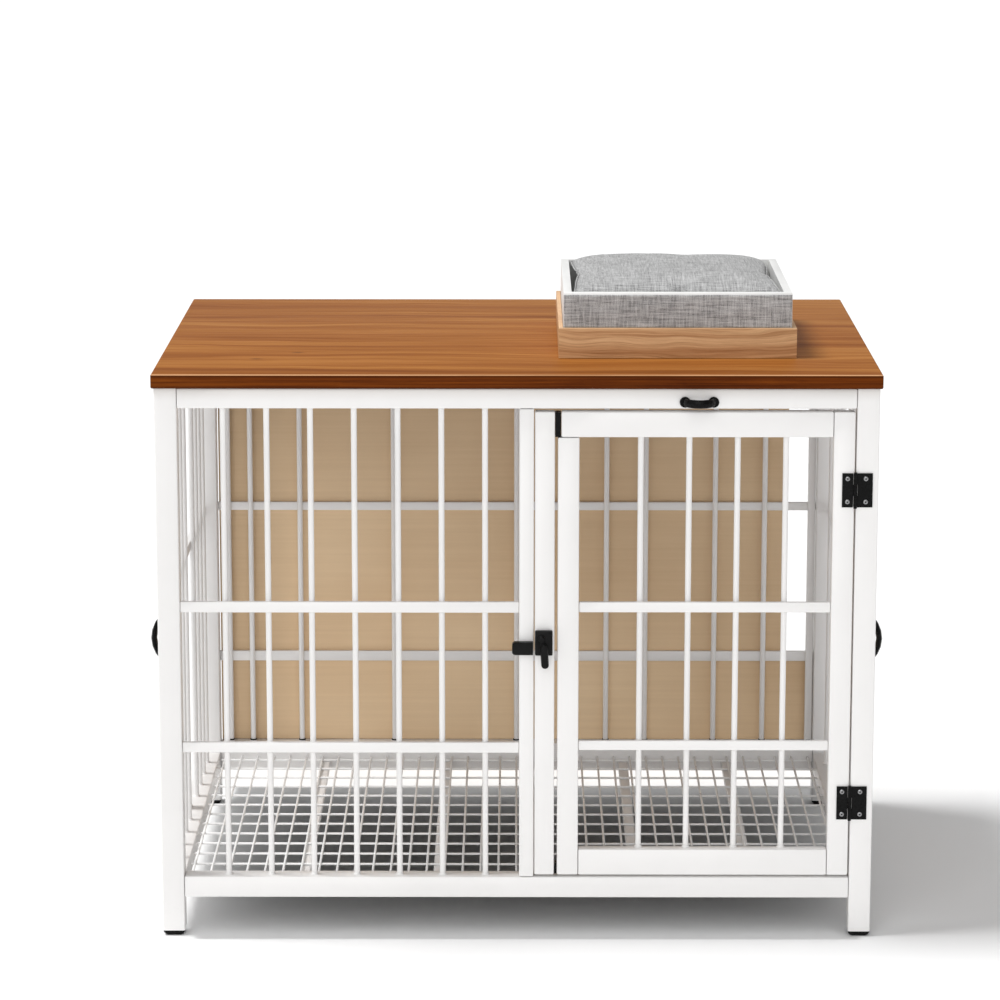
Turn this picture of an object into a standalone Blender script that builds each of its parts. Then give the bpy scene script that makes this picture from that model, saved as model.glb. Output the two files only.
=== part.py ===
"""Furniture-style dog crate: a white tube frame with barred sides under a wooden top board.

The front has a fixed barred panel on the left and a barred swing door on the right, with a turn
latch. A small bed stands on the top board: a wooden tray, a box that sits in it and a cushion.

Units are metres, +Z is up, the door faces -Y and the hinges are on the +X side. The origin is on
the ground, under the centre of the whole crate's box.
"""

import math

import bmesh
import bpy
from mathutils import Matrix, Vector

# ---- driving dimensions ------------------------------------------------------------------------
GAP = 0.0003                 # between pieces that rest on or touch each other

BOARD_W = 1.000              # top board
BOARD_D = 0.710
BOARD_T = 0.0195
HEIGHT = 0.800               # ground to the top of the board
OVERHANG_X = 0.0035          # board past the posts
OVERHANG_Y = 0.006

TUBE = 0.031                 # square tube of the posts and rails
TUBE_WALL = 0.0015
TUBE_ROUND = 0.0022
FOOT_H = 0.007
FOOT_STEM = 0.024
FOOT_STEM_CLEAR = 0.0005     # between a foot's stem and its tube
FOOT_CORNER = 0.0030
FOOT_TAPER = ((0.0042, 0.0), (0.0022, 0.0018), (0.0006, 0.0050), (0.0004, FOOT_H))  # inset, height

TOP_RAIL_H = 0.0280
BOTTOM_RAIL_Z = 0.0563       # underside of the bottom rails
BOTTOM_RAIL_H = 0.0300
BACK_RAIL_H = 0.0440         # the back bottom rail is taller and closes the boards' foot

BAR_R = 0.0041               # round bars of the grilles
BAR_SIDES = 12
CROSS_T = 0.0075             # flat cross rails that the bars are welded to
CROSS_BITE = 0.0016          # depth that a bar sinks into its cross rail
CROSS_INSET = 0.0040         # cross rail behind the outer face of the posts
FLAT_ROUND = 0.0014          # rounding of the flat rails and stiles

FRONT_HANDLE_REACH = 0.0240  # handle in front of the posts, the furthest point forward
SIDE_HANDLE_REACH = 0.0475   # handle outside the side grille's middle stile

# ---- planes that the rest is laid out from ------------------------------------------------------
Y_CENTRE = (FRONT_HANDLE_REACH - OVERHANG_Y) / 2
FRONT = Y_CENTRE - BOARD_D / 2 + OVERHANG_Y     # outer faces of the posts
BACK = Y_CENTRE + BOARD_D / 2 - OVERHANG_Y
SIDE = BOARD_W / 2 - OVERHANG_X
INNER_X = SIDE - TUBE                           # inner faces of the posts
INNER_FRONT = FRONT + TUBE
INNER_BACK = BACK - TUBE
BOARD_Z = HEIGHT - BOARD_T
TOP_RAIL_Z = BOARD_Z - GAP - TOP_RAIL_H
SILL_Z = BOTTOM_RAIL_Z + BOTTOM_RAIL_H          # top of the bottom rails
BACK_SILL_Z = BOTTOM_RAIL_Z + BACK_RAIL_H

# ---- front: centre post, fixed grille and door --------------------------------------------------
CENTRE_POST_X = (0.0035, 0.0238)
FRONT_BAR_FIRST = -0.4035
FRONT_BAR_PITCH = 0.0600
FRONT_BAR_COUNT = 7
UPPER_CROSS = (0.4650, 0.4802)                  # heights of the cross rails, front and sides
LOWER_CROSS = (0.2648, 0.2795)

DOOR_T = 0.020
DOOR_X = (0.0565, INNER_X - 0.0020)
DOOR_Z = (0.0894, 0.7478)
DOOR_STILE_W = 0.0295
DOOR_TOP_H = 0.0353
DOOR_BOTTOM_H = 0.0370
DOOR_UPPER_CROSS = (0.4655, 0.4800)
DOOR_LOWER_CROSS = (0.2685, 0.2822)
DOOR_BAR_FIRST = 0.1705
DOOR_BAR_PITCH = 0.0665
DOOR_BAR_COUNT = 4
DOOR_BAR_SETBACK = 0.0150                       # bar centre behind the door's front face
DOOR_NOTCH = 0.0045                             # top rail stops short of the door's free edge

LATCH_STILE_X = (0.0250, 0.0525)
LINK_TOP_H = 0.0340
LINK_BOTTOM_H = 0.0150
LINK_END_INSET = 0.0010                         # links inside the door's ends and rear face
LINK_TOP_SETBACK = 0.0010                       # links behind the door's front face
LINK_BOTTOM_SETBACK = 0.0030
LINK_ROUND = 0.0006

# ---- hinges --------------------------------------------------------------------------------------
HINGE_X = (DOOR_X[1] + INNER_X) / 2
HINGE_BARREL_R = 0.0025
HINGE_PIN_R = 0.0013
HINGE_HOLE_R = 0.00145
HINGE_LEAF_T = 0.0015
HINGE_LEAF_REACH = {1: 0.0237, -1: 0.0182}       # from the pin to a leaf's edge: post, door
HINGE_H = 0.0475
HINGE_LOW_Z = 0.1710
HINGE_HIGH_Z = 0.6155
HINGE_Y = FRONT - GAP - HINGE_BARREL_R
KNUCKLE_GAP = 0.0003
LEAF_START = 0.0031                             # leaf edge from the pin's centre
KNUCKLE_BITE = 0.0004                           # knuckle tab sunk into its leaf
PIN_HEAD_H = 0.0010
PIN_HEAD_R = 0.0023

# ---- latch ---------------------------------------------------------------------------------------
LATCH_DEPTH = 0.0090
LATCH_CASE_X = (0.0256, 0.0498)
LATCH_CASE_Z = (0.4072, 0.4420)
LATCH_CASE_ROUND = 0.0017
KEEPER_X = (-0.0062, 0.0227)
KEEPER_Z = (0.4082, 0.4260)
KEEPER_ROUND = 0.0045
LATCH_WAY_Z = (0.4107, 0.4212)                  # slot that the bolt slides in
LATCH_WAY_WALL = 0.0012
KEEPER_WAY_LENGTH = 0.0157
CASE_WAY_LENGTH = 0.0224
BOLT_CLEAR = 0.0004
BOLT_LENGTH = 0.0200
BOLT_BACKSET = 0.0006                           # bolt end inside the case's face
LEVER_PIVOT = (0.0343, 0.4315)
LEVER_TILT = math.radians(4.0)
LEVER_STAND_OFF = 0.0020                        # lever in front of the case
PADDLE_X = (-0.0027, 0.0079)                    # paddle's sides, from the pivot
PADDLE_HEAD = -0.0050                           # its pointed head, shoulders and foot, from the pivot
PADDLE_SHOULDER = -0.0130
PADDLE_FOOT = -0.0416
PADDLE_T = 0.0068
PADDLE_SECTIONS = ((0.0010, 0.0), (0.0, 0.0012), (0.0, 0.0044), (0.0010, 0.0062), (0.0026, PADDLE_T))
HEAD_POWER = 1.6                                # above 1 the head's sides swell before its point
NECK_X = (-0.0028, 0.0034)
NECK_END = -0.0160
NECK_T = 0.0030
BOSS_PROFILE = ((0.0046, 0.0), (0.0046, 0.0034), (0.0042, 0.0047), (0.0032, 0.0056), (0.0016, 0.0060))
BOSS_SIDES = 20
SPINDLE_R = 0.0030
SPINDLE_HOLE_R = 0.0032
SPINDLE_LENGTH = 0.0050
SPINDLE_END_CLEAR = 0.0005
LATCH_CUT_PAST = 0.0020                         # cutting shapes reach this far past a face

# ---- handles -------------------------------------------------------------------------------------
FRONT_HANDLE_X = 0.2495
FRONT_HANDLE_Z = 0.7618
FRONT_HANDLE_SPAN = 0.0390
FRONT_HANDLE_THICK = (0.0118, 0.0080)           # height of the grip, and its depth
SIDE_HANDLE_Z = 0.3470
SIDE_HANDLE_SPAN = 0.0860
SIDE_HANDLE_THICK = (0.0140, 0.0090)
HANDLE_STEPS = 12
HANDLE_SECTION_SIDES = 10
HANDLE_BITE = 0.0020                            # bow end sunk into its foot pad
HANDLE_PAD_T = 0.0030
HANDLE_PAD_BORDER = 0.0016                      # pad past the bow all round
HANDLE_PAD_SIDES = 16

# ---- sides and back ------------------------------------------------------------------------------
SIDE_BAR_COUNT = 9
SIDE_STILE_W = 0.0200                           # flat middle stile, which carries the handle
BACK_CROSS = ((0.2292, 0.2452), (0.4705, 0.4835))
BACK_CROSS_T = 0.0062
BACK_BOARD_T = 0.0060
BACK_BOARD_ROUND = 0.0008
BACK_BAR_X = (-0.4490, -0.4145, -0.3375, -0.1915, 0.0000, 0.1400, 0.2010, 0.3090, 0.3860)
BACK_STILE_X = (0.4530, 0.4645)                 # flat end stile beside the right back post
BACK_BOARD_LEFT = -0.4640
BACK_BOARD_SHORT = 0.4225                       # the upper boards leave a slot at the right
BACK_BOARD_JOINTS = (0.2372, 0.4770)            # heights where one board meets the next

# ---- floor ---------------------------------------------------------------------------------------
FLOOR_Z = 0.0745                                # underside of the welded mesh
FLOOR_WIRE = 0.0030
FLOOR_ROWS = 13                                 # wires that run left to right
FLOOR_COLUMNS = 19                              # wires that run front to back
FLOOR_MARGIN = 0.0120                           # outermost wires' centres inside the rails
FLOOR_BAR_X = (-0.3000, -0.1100, 0.1670, 0.3290)
FLOOR_BAR_W = 0.0150
FLOOR_BAR_H = 0.0120

# ---- bed on the top board ------------------------------------------------------------------------
TRAY_X = (0.0585, 0.3915)
TRAY_FRONT = 0.1344                             # tray's front behind the posts' front faces
TRAY_D = 0.3650
TRAY_H = 0.0425
TRAY_WALL = 0.0060
TRAY_BASE_T = 0.0060
BOX_CLEAR = 0.0006                              # between the box and the tray's walls
BOX_H = 0.0850
BOX_WALL = 0.0115
BOX_BASE_T = 0.0060
CUSHION_CLEAR = 0.0020
CUSHION_H = 0.1048
CUSHION_ROUND = 0.0260


# ---- materials -----------------------------------------------------------------------------------
def make_material(name, colour, roughness, metallic=0.0):
    """A Principled BSDF material with one colour."""
    material = bpy.data.materials.new(name)
    material.use_nodes = True
    shader = material.node_tree.nodes["Principled BSDF"]
    shader.inputs["Base Color"].default_value = (*colour, 1.0)
    shader.inputs["Roughness"].default_value = roughness
    shader.inputs["Metallic"].default_value = metallic
    return material


def make_materials():
    """Every material of the crate, by the name that the pieces ask for."""
    return {
        "white_steel": make_material("white_steel", (0.84, 0.84, 0.83), 0.42, 0.1),
        "wire": make_material("wire", (0.80, 0.80, 0.79), 0.38, 0.1),
        "walnut": make_material("walnut", (0.42, 0.17, 0.065), 0.45),
        "tan_board": make_material("tan_board", (0.47, 0.32, 0.19), 0.60),
        "black_steel": make_material("black_steel", (0.012, 0.012, 0.012), 0.40, 0.3),
        "black_plastic": make_material("black_plastic", (0.010, 0.010, 0.010), 0.50),
        "bolt_steel": make_material("bolt_steel", (0.55, 0.55, 0.56), 0.30, 1.0),
        "ash": make_material("ash", (0.51, 0.29, 0.14), 0.55),
        "white_board": make_material("white_board", (0.82, 0.82, 0.80), 0.50),
        "grey_fabric": make_material("grey_fabric", (0.38, 0.38, 0.38), 0.95),
    }


# ---- shapes --------------------------------------------------------------------------------------
def centre_of(low, high):
    """The middle of a box."""
    return (Vector(low) + Vector(high)) / 2


def new_object(name, shape, origin, material=None, smooth_angle=30.0):
    """Turn a bmesh that is in world coordinates into an object with its origin at a point."""
    shape.transform(Matrix.Translation(-Vector(origin)))
    bmesh.ops.recalc_face_normals(shape, faces=shape.faces)
    mesh = bpy.data.meshes.new(name)
    shape.to_mesh(mesh)
    shape.free()
    mesh.shade_smooth()
    mesh.set_sharp_from_angle(angle=math.radians(smooth_angle))
    thing = bpy.data.objects.new(name, mesh)
    thing.location = origin
    bpy.context.scene.collection.objects.link(thing)
    if material is not None:
        mesh.materials.append(material)
    return thing


def add_box(shape, low, high, round_by=0.0, segments=2):
    """Add a box to a bmesh, with its edges rounded if asked."""
    size = Vector(high) - Vector(low)
    place = Matrix.Translation(centre_of(low, high)) @ Matrix.Diagonal((*size, 1.0))
    made = bmesh.ops.create_cube(shape, size=1.0, matrix=place)
    if round_by:
        edges = list({edge for vert in made["verts"] for edge in vert.link_edges})
        bmesh.ops.bevel(shape, geom=edges, offset=round_by, segments=segments, profile=0.5,
                        affect="EDGES", clamp_overlap=True)


def add_prism(shape, outline, lift):
    """Extrude a closed outline of points along a vector."""
    face = shape.faces.new([shape.verts.new(point) for point in outline])
    grown = bmesh.ops.extrude_face_region(shape, geom=[face])
    moved = [item for item in grown["geom"] if isinstance(item, bmesh.types.BMVert)]
    bmesh.ops.translate(shape, verts=moved, vec=lift)


def add_rod(shape, foot, top, radius, sides=BAR_SIDES):
    """Add a round bar between two points."""
    run = Vector(top) - Vector(foot)
    turn = run.to_track_quat("Z", "Y").to_matrix().to_4x4()
    place = Matrix.Translation((Vector(foot) + Vector(top)) / 2) @ turn
    bmesh.ops.create_cone(shape, cap_ends=True, segments=sides, radius1=radius, radius2=radius,
                          depth=run.length, matrix=place)


def add_skin(shape, loops):
    """Skin a stack of point rings: faces between neighbours and a cap at each end."""
    made = [[shape.verts.new(point) for point in loop] for loop in loops]
    for near, far in zip(made, made[1:]):
        for k in range(len(near)):
            after = (k + 1) % len(near)
            shape.faces.new((near[k], near[after], far[after], far[k]))
    shape.faces.new(made[0][::-1])
    shape.faces.new(made[-1])


def make_box(name, low, high, material, round_by=TUBE_ROUND, segments=2):
    """A solid box-shaped piece."""
    shape = bmesh.new()
    add_box(shape, low, high, round_by, segments)
    return new_object(name, shape, centre_of(low, high), material)


def make_tube(name, low, high, material):
    """A rectangular tube along the longest side of its box, open at both ends."""
    tube = make_box(name, low, high, material)
    size = Vector(high) - Vector(low)
    wall = Vector((TUBE_WALL, TUBE_WALL, TUBE_WALL))
    wall[list(size).index(max(size))] = -TUBE
    bore = bmesh.new()
    add_box(bore, Vector(low) + wall, Vector(high) - wall)
    combine(tube, guide(name + "_bore", bore, centre_of(low, high)), "DIFFERENCE")
    return tube


def guide(name, shape, origin):
    """A helper shape for a Boolean, which isn't part of the crate."""
    helper = new_object(name, shape, origin)
    helper.hide_render = True
    helper.display_type = "WIRE"
    return helper


def combine(piece, helper, operation):
    """Add the helper to a piece, or cut it out."""
    modifier = piece.modifiers.new(helper.name, "BOOLEAN")
    modifier.operation = operation
    modifier.solver = "EXACT"
    modifier.object = helper


def hang_on(pivot, pieces):
    """Parent pieces to an empty, and keep them where they are."""
    for piece in pieces:
        piece.location = piece.location - pivot.location
        piece.parent = pivot


def make_pivot(name, place):
    """An empty on a joint's axis."""
    pivot = bpy.data.objects.new(name, None)
    pivot.location = place
    bpy.context.scene.collection.objects.link(pivot)
    return pivot


# ---- frame ---------------------------------------------------------------------------------------
def make_post(name, side, face_y, depth, material):
    """A square tube from the foot to the board, open at both ends."""
    x_range = sorted((side * SIDE, side * INNER_X))
    y_range = sorted((face_y, face_y + depth))
    low = Vector((x_range[0], y_range[0], FOOT_H + GAP))
    high = Vector((x_range[1], y_range[1], BOARD_Z - GAP))
    shape = bmesh.new()
    add_box(shape, low, high)
    upright = [edge for edge in shape.edges if abs(edge.verts[0].co.z - edge.verts[1].co.z) > TUBE]
    bmesh.ops.bevel(shape, geom=upright, offset=TUBE_ROUND, segments=3, profile=0.5, affect="EDGES")
    post = new_object(name, shape, centre_of(low, high), material)
    wall = Vector((TUBE_WALL, TUBE_WALL, -TUBE))
    bore = bmesh.new()
    add_box(bore, low + wall, high - wall)
    combine(post, guide(name + "_bore", bore, centre_of(low, high)), "DIFFERENCE")
    return post


def make_foot(name, side, centre_y, material):
    """A plug foot: a tapered pad under the post, with a stem in its tube."""
    centre_x = side * (SIDE - TUBE / 2)
    half = TUBE / 2
    stem = half - TUBE_WALL - FOOT_STEM_CLEAR
    rings = [(half - inset, height) for inset, height in FOOT_TAPER]
    rings += [(stem, FOOT_H), (stem, FOOT_H + FOOT_STEM)]
    shape = bmesh.new()
    loops = []
    for reach, height in rings:
        near = reach - FOOT_CORNER
        outline = ((reach, near), (near, reach), (-near, reach), (-reach, near),
                   (-reach, -near), (-near, -reach), (near, -reach), (reach, -near))
        loops.append([(centre_x + x, centre_y + y, height) for x, y in outline])
    add_skin(shape, loops)
    return new_object(name, shape, (centre_x, centre_y, 0.0), material)


def make_frame(look):
    """Top board, posts, feet and rails."""
    steel = look["white_steel"]
    board_front = FRONT - OVERHANG_Y
    make_box("top_board", (-BOARD_W / 2, board_front, BOARD_Z),
             (BOARD_W / 2, board_front + BOARD_D, HEIGHT), look["walnut"], 0.0022, 3)
    for side, side_name in ((-1, "left"), (1, "right")):
        make_post("post_front_" + side_name, side, FRONT, TUBE, steel)
        make_post("post_back_" + side_name, side, BACK, -TUBE, steel)
        make_foot("foot_front_" + side_name, side, FRONT + TUBE / 2, look["black_plastic"])
        make_foot("foot_back_" + side_name, side, BACK - TUBE / 2, look["black_plastic"])
        x_range = sorted((side * SIDE, side * INNER_X))
        for rail, bottom, top in (("top_rail_", TOP_RAIL_Z, TOP_RAIL_Z + TOP_RAIL_H),
                                  ("bottom_rail_", BOTTOM_RAIL_Z, SILL_Z)):
            make_tube(rail + side_name, (x_range[0], INNER_FRONT + GAP, bottom),
                      (x_range[1], INNER_BACK - GAP, top), steel)
    reach = INNER_X - GAP
    for rail, low_y, high_y, sill in (("front", FRONT, INNER_FRONT, SILL_Z),
                                      ("back", INNER_BACK, BACK, BACK_SILL_Z)):
        make_tube("top_rail_" + rail, (-reach, low_y, TOP_RAIL_Z),
                  (reach, high_y, TOP_RAIL_Z + TOP_RAIL_H), steel)
        make_tube("bottom_rail_" + rail, (-reach, low_y, BOTTOM_RAIL_Z), (reach, high_y, sill), steel)
    make_tube("centre_post", (CENTRE_POST_X[0], FRONT, SILL_Z + GAP),
              (CENTRE_POST_X[1], INNER_FRONT, TOP_RAIL_Z - GAP), steel)


# ---- grilles -------------------------------------------------------------------------------------
def make_grille(name, flats, rods, material):
    """A welded grille: flat rails as one mesh, joined with the round bars."""
    low = Vector(flats[0][0])
    shape = bmesh.new()
    for flat_low, flat_high in flats:
        add_box(shape, flat_low, flat_high, FLAT_ROUND)
    grille = new_object(name, shape, low, material)
    bars = bmesh.new()
    for foot, top in rods:
        add_rod(bars, foot, top, BAR_R)
    combine(grille, guide(name + "_bars", bars, low), "UNION")
    return grille


def make_front_grille(look):
    """Seven bars behind two cross rails, between the left post and the centre post."""
    y_low = FRONT + CROSS_INSET
    y_high = y_low + CROSS_T
    bar_y = y_high - CROSS_BITE + BAR_R
    flats = [((-INNER_X + GAP, y_low, bottom), (CENTRE_POST_X[0] - GAP, y_high, top))
             for bottom, top in (UPPER_CROSS, LOWER_CROSS)]
    rods = []
    for i in range(FRONT_BAR_COUNT):
        x = FRONT_BAR_FIRST + i * FRONT_BAR_PITCH
        rods.append(((x, bar_y, SILL_Z + GAP), (x, bar_y, TOP_RAIL_Z - GAP)))
    make_grille("front_grille", flats, rods, look["white_steel"])


def make_side_grille(name, side, look):
    """Nine evenly spaced uprights: the middle one is a flat stile that carries the handle."""
    outer = SIDE - CROSS_INSET
    inner = outer - CROSS_T
    bar_x = side * (inner + CROSS_BITE - BAR_R)
    x_low, x_high = sorted((side * outer, side * inner))
    foot_z = SILL_Z + GAP
    top_z = TOP_RAIL_Z - GAP
    pitch = (INNER_BACK - INNER_FRONT) / (SIDE_BAR_COUNT + 1)
    cross_y = (INNER_FRONT + GAP, INNER_BACK - GAP)
    flats = [((x_low, cross_y[0], UPPER_CROSS[0]), (x_high, cross_y[1], UPPER_CROSS[1]))]
    rods = []
    for i in range(SIDE_BAR_COUNT):
        if i != SIDE_BAR_COUNT // 2:
            y = INNER_FRONT + (i + 1) * pitch
            rods.append(((bar_x, y, foot_z), (bar_x, y, top_z)))
    grille = make_grille(name, flats, rods, look["white_steel"])
    stile = bmesh.new()
    low = (x_low, Y_CENTRE - SIDE_STILE_W / 2, foot_z)
    high = (x_high, Y_CENTRE + SIDE_STILE_W / 2, top_z)
    add_box(stile, low, high, FLAT_ROUND)
    combine(grille, guide(name + "_stile", stile, centre_of(low, high)), "UNION")


def make_back(look):
    """Back grille with an end stile, and the three boards behind it."""
    y_high = BACK - BACK_BOARD_T - GAP
    y_low = y_high - BACK_CROSS_T
    bar_y = y_low + CROSS_BITE - BAR_R
    foot_z = BACK_SILL_Z + GAP
    top_z = TOP_RAIL_Z - GAP
    flats = [((-INNER_X + GAP, y_low, bottom), (INNER_X - GAP, y_high, top))
             for bottom, top in BACK_CROSS]
    rods = [((x, bar_y, foot_z), (x, bar_y, top_z)) for x in BACK_BAR_X]
    grille = make_grille("back_grille", flats, rods, look["white_steel"])
    stile = bmesh.new()
    low = (BACK_STILE_X[0], bar_y - BAR_R, foot_z)
    high = (BACK_STILE_X[1], y_low + CROSS_BITE, top_z)
    add_box(stile, low, high, FLAT_ROUND)
    combine(grille, guide("back_grille_stile", stile, centre_of(low, high)), "UNION")

    full = INNER_X - GAP
    low_joint, high_joint = BACK_BOARD_JOINTS
    boards = (("back_board_lower", full, foot_z, low_joint),
              ("back_board_middle", BACK_BOARD_SHORT, low_joint, high_joint),
              ("back_board_upper", BACK_BOARD_SHORT, high_joint, top_z))
    for name, right, bottom, top in boards:
        make_box(name, (BACK_BOARD_LEFT, BACK - BACK_BOARD_T, bottom + GAP / 2),
                 (right, BACK, top - GAP / 2), look["tan_board"], BACK_BOARD_ROUND, 1)


# ---- floor ---------------------------------------------------------------------------------------
def make_floor_mesh(material):
    """Welded wire mesh as one flat lattice: a grid of wire lines with its openings left out."""
    half_x = INNER_X - FLOOR_MARGIN
    half_y = (INNER_BACK - INNER_FRONT) / 2 - FLOOR_MARGIN
    half_wire = FLOOR_WIRE / 2

    def lines(count, half, middle):
        step = 2 * half / (count - 1)
        places = []
        for i in range(count):
            place = middle - half + i * step
            places += [place - half_wire, place + half_wire]
        return places

    xs = lines(FLOOR_COLUMNS, half_x, 0.0)
    ys = lines(FLOOR_ROWS, half_y, (INNER_FRONT + INNER_BACK) / 2)
    shape = bmesh.new()
    grid = [[shape.verts.new((x, y, FLOOR_Z)) for y in ys] for x in xs]
    for i in range(len(xs) - 1):
        for j in range(len(ys) - 1):
            if i % 2 == 0 or j % 2 == 0:
                shape.faces.new((grid[i][j], grid[i + 1][j], grid[i + 1][j + 1], grid[i][j + 1]))
    grown = bmesh.ops.extrude_face_region(shape, geom=list(shape.faces))
    lifted = [item for item in grown["geom"] if isinstance(item, bmesh.types.BMVert)]
    bmesh.ops.translate(shape, verts=lifted, vec=(0, 0, FLOOR_WIRE))
    new_object("floor_mesh", shape, (0, Y_CENTRE, FLOOR_Z), material)


def make_floor(look):
    """The wire mesh and the four bars that it lies on."""
    make_floor_mesh(look["wire"])
    top = FLOOR_Z - GAP
    for i, x in enumerate(FLOOR_BAR_X):
        make_tube(f"floor_bar_{i + 1}", (x - FLOOR_BAR_W / 2, INNER_FRONT + GAP, top - FLOOR_BAR_H),
                  (x + FLOOR_BAR_W / 2, INNER_BACK - GAP, top), look["white_steel"])


# ---- handles -------------------------------------------------------------------------------------
def make_handle(name, foot_point, out, along, span, reach, thick, material):
    """A bow handle: an oval section swept along half an ellipse, with a pad at each foot."""
    out = Vector(out)
    along = Vector(along)
    across = out.cross(along)
    start = Vector(foot_point) + out * GAP
    half_wide, half_deep = thick[0] / 2, thick[1] / 2
    rise = reach - GAP - half_deep
    sections = []
    for i in range(HANDLE_STEPS + 1):
        turn = math.pi * i / HANDLE_STEPS
        centre = start - along * (span / 2) * math.cos(turn) + out * rise * math.sin(turn)
        if i in (0, HANDLE_STEPS):
            centre = centre + out * (HANDLE_PAD_T - HANDLE_BITE)
        heading = along * (span / 2) * math.sin(turn) + out * rise * math.cos(turn)
        normal = heading.normalized().cross(across)
        ring = []
        for k in range(HANDLE_SECTION_SIDES):
            angle = 2 * math.pi * k / HANDLE_SECTION_SIDES
            ring.append(centre + across * half_wide * math.cos(angle)
                        + normal * half_deep * math.sin(angle))
        sections.append(ring)
    bow = bmesh.new()
    add_skin(bow, sections)
    handle = new_object(name, bow, foot_point, material, 50.0)
    pads = bmesh.new()
    for end in (-1, 1):
        low = start + along * end * span / 2
        add_rod(pads, low, low + out * HANDLE_PAD_T, half_wide + HANDLE_PAD_BORDER,
                HANDLE_PAD_SIDES)
    combine(handle, guide(name + "_pads", pads, foot_point), "UNION")
    return handle


def make_handles(look):
    """The door-side pull on the top rail and the two carry handles."""
    black = look["black_steel"]
    make_handle("front_handle", (FRONT_HANDLE_X, FRONT, FRONT_HANDLE_Z), (0, -1, 0), (1, 0, 0),
                FRONT_HANDLE_SPAN, FRONT_HANDLE_REACH, FRONT_HANDLE_THICK, black)
    for side, side_name in ((-1, "left"), (1, "right")):
        foot = (side * (SIDE - CROSS_INSET), Y_CENTRE, SIDE_HANDLE_Z)
        make_handle("side_handle_" + side_name, foot, (side, 0, 0), (0, 0, 1),
                    SIDE_HANDLE_SPAN, SIDE_HANDLE_REACH, SIDE_HANDLE_THICK, black)


# ---- hinges --------------------------------------------------------------------------------------
def add_knuckle(shape, side, bottom, top):
    """One knuckle with its tab: a drop-shaped outline around the pin, extruded upwards."""
    leaf_front = HINGE_BARREL_R - HINGE_LEAF_T
    tab = LEAF_START + KNUCKLE_BITE
    first = math.pi / 2
    last = 2 * math.pi + math.asin(leaf_front / HINGE_BARREL_R)
    steps = 14
    points = [(tab, HINGE_BARREL_R)]
    for i in range(steps + 1):
        angle = first + (last - first) * i / steps
        points.append((HINGE_BARREL_R * math.cos(angle), HINGE_BARREL_R * math.sin(angle)))
    points.append((tab, leaf_front))
    outline = [(HINGE_X + side * x, HINGE_Y + y, bottom) for x, y in points]
    add_prism(shape, outline, (0, 0, top - bottom))


def make_leaf(name, side, base_z, knuckles, material):
    """A hinge leaf with its knuckles, bored for the pin."""
    leaf_back = HINGE_Y + HINGE_BARREL_R
    x_range = sorted((HINGE_X + side * LEAF_START, HINGE_X + side * HINGE_LEAF_REACH[side]))
    low = (x_range[0], leaf_back - HINGE_LEAF_T, base_z)
    high = (x_range[1], leaf_back, base_z + HINGE_H)
    pivot = (HINGE_X, HINGE_Y, base_z)
    plate = bmesh.new()
    add_box(plate, low, high)
    leaf = new_object(name, plate, pivot, material)
    barrel = bmesh.new()
    for bottom, top in knuckles:
        add_knuckle(barrel, side, base_z + bottom, base_z + top)
    combine(leaf, guide(name + "_knuckles", barrel, pivot), "UNION")
    bore = bmesh.new()
    add_rod(bore, (HINGE_X, HINGE_Y, base_z - HINGE_H), (HINGE_X, HINGE_Y, base_z + 2 * HINGE_H),
            HINGE_HOLE_R, 16)
    combine(leaf, guide(name + "_bore", bore, pivot), "DIFFERENCE")
    return leaf


def make_pin(name, base_z, material):
    """A hinge pin with a flat head at each end, which keeps it in the knuckles."""
    above = HINGE_H + GAP
    rings = ((PIN_HEAD_R, -GAP - PIN_HEAD_H), (PIN_HEAD_R, -GAP), (HINGE_PIN_R, -GAP),
             (HINGE_PIN_R, above), (PIN_HEAD_R, above), (PIN_HEAD_R, above + PIN_HEAD_H))
    sides = 16
    shape = bmesh.new()
    loops = []
    for radius, height in rings:
        loop = []
        for k in range(sides):
            angle = 2 * math.pi * k / sides
            loop.append((HINGE_X + radius * math.cos(angle), HINGE_Y + radius * math.sin(angle),
                         base_z + height))
        loops.append(loop)
    add_skin(shape, loops)
    return new_object(name, shape, (HINGE_X, HINGE_Y, base_z), material)


def make_hinges(look):
    """Two butt hinges on the front faces of the right post and the door. Returns the door leaves."""
    third = HINGE_H / 3
    middle = [(third + KNUCKLE_GAP, 2 * third - KNUCKLE_GAP)]
    ends = [(0.0, third), (2 * third, HINGE_H)]
    door_leaves = []
    for name, base_z in (("lower", HINGE_LOW_Z), ("upper", HINGE_HIGH_Z)):
        make_leaf(f"hinge_{name}_post_leaf", 1, base_z, ends, look["black_steel"])
        make_pin(f"hinge_{name}_pin", base_z, look["black_steel"])
        door_leaves.append(make_leaf(f"hinge_{name}_door_leaf", -1, base_z, middle,
                                     look["black_steel"]))
    return door_leaves


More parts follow.
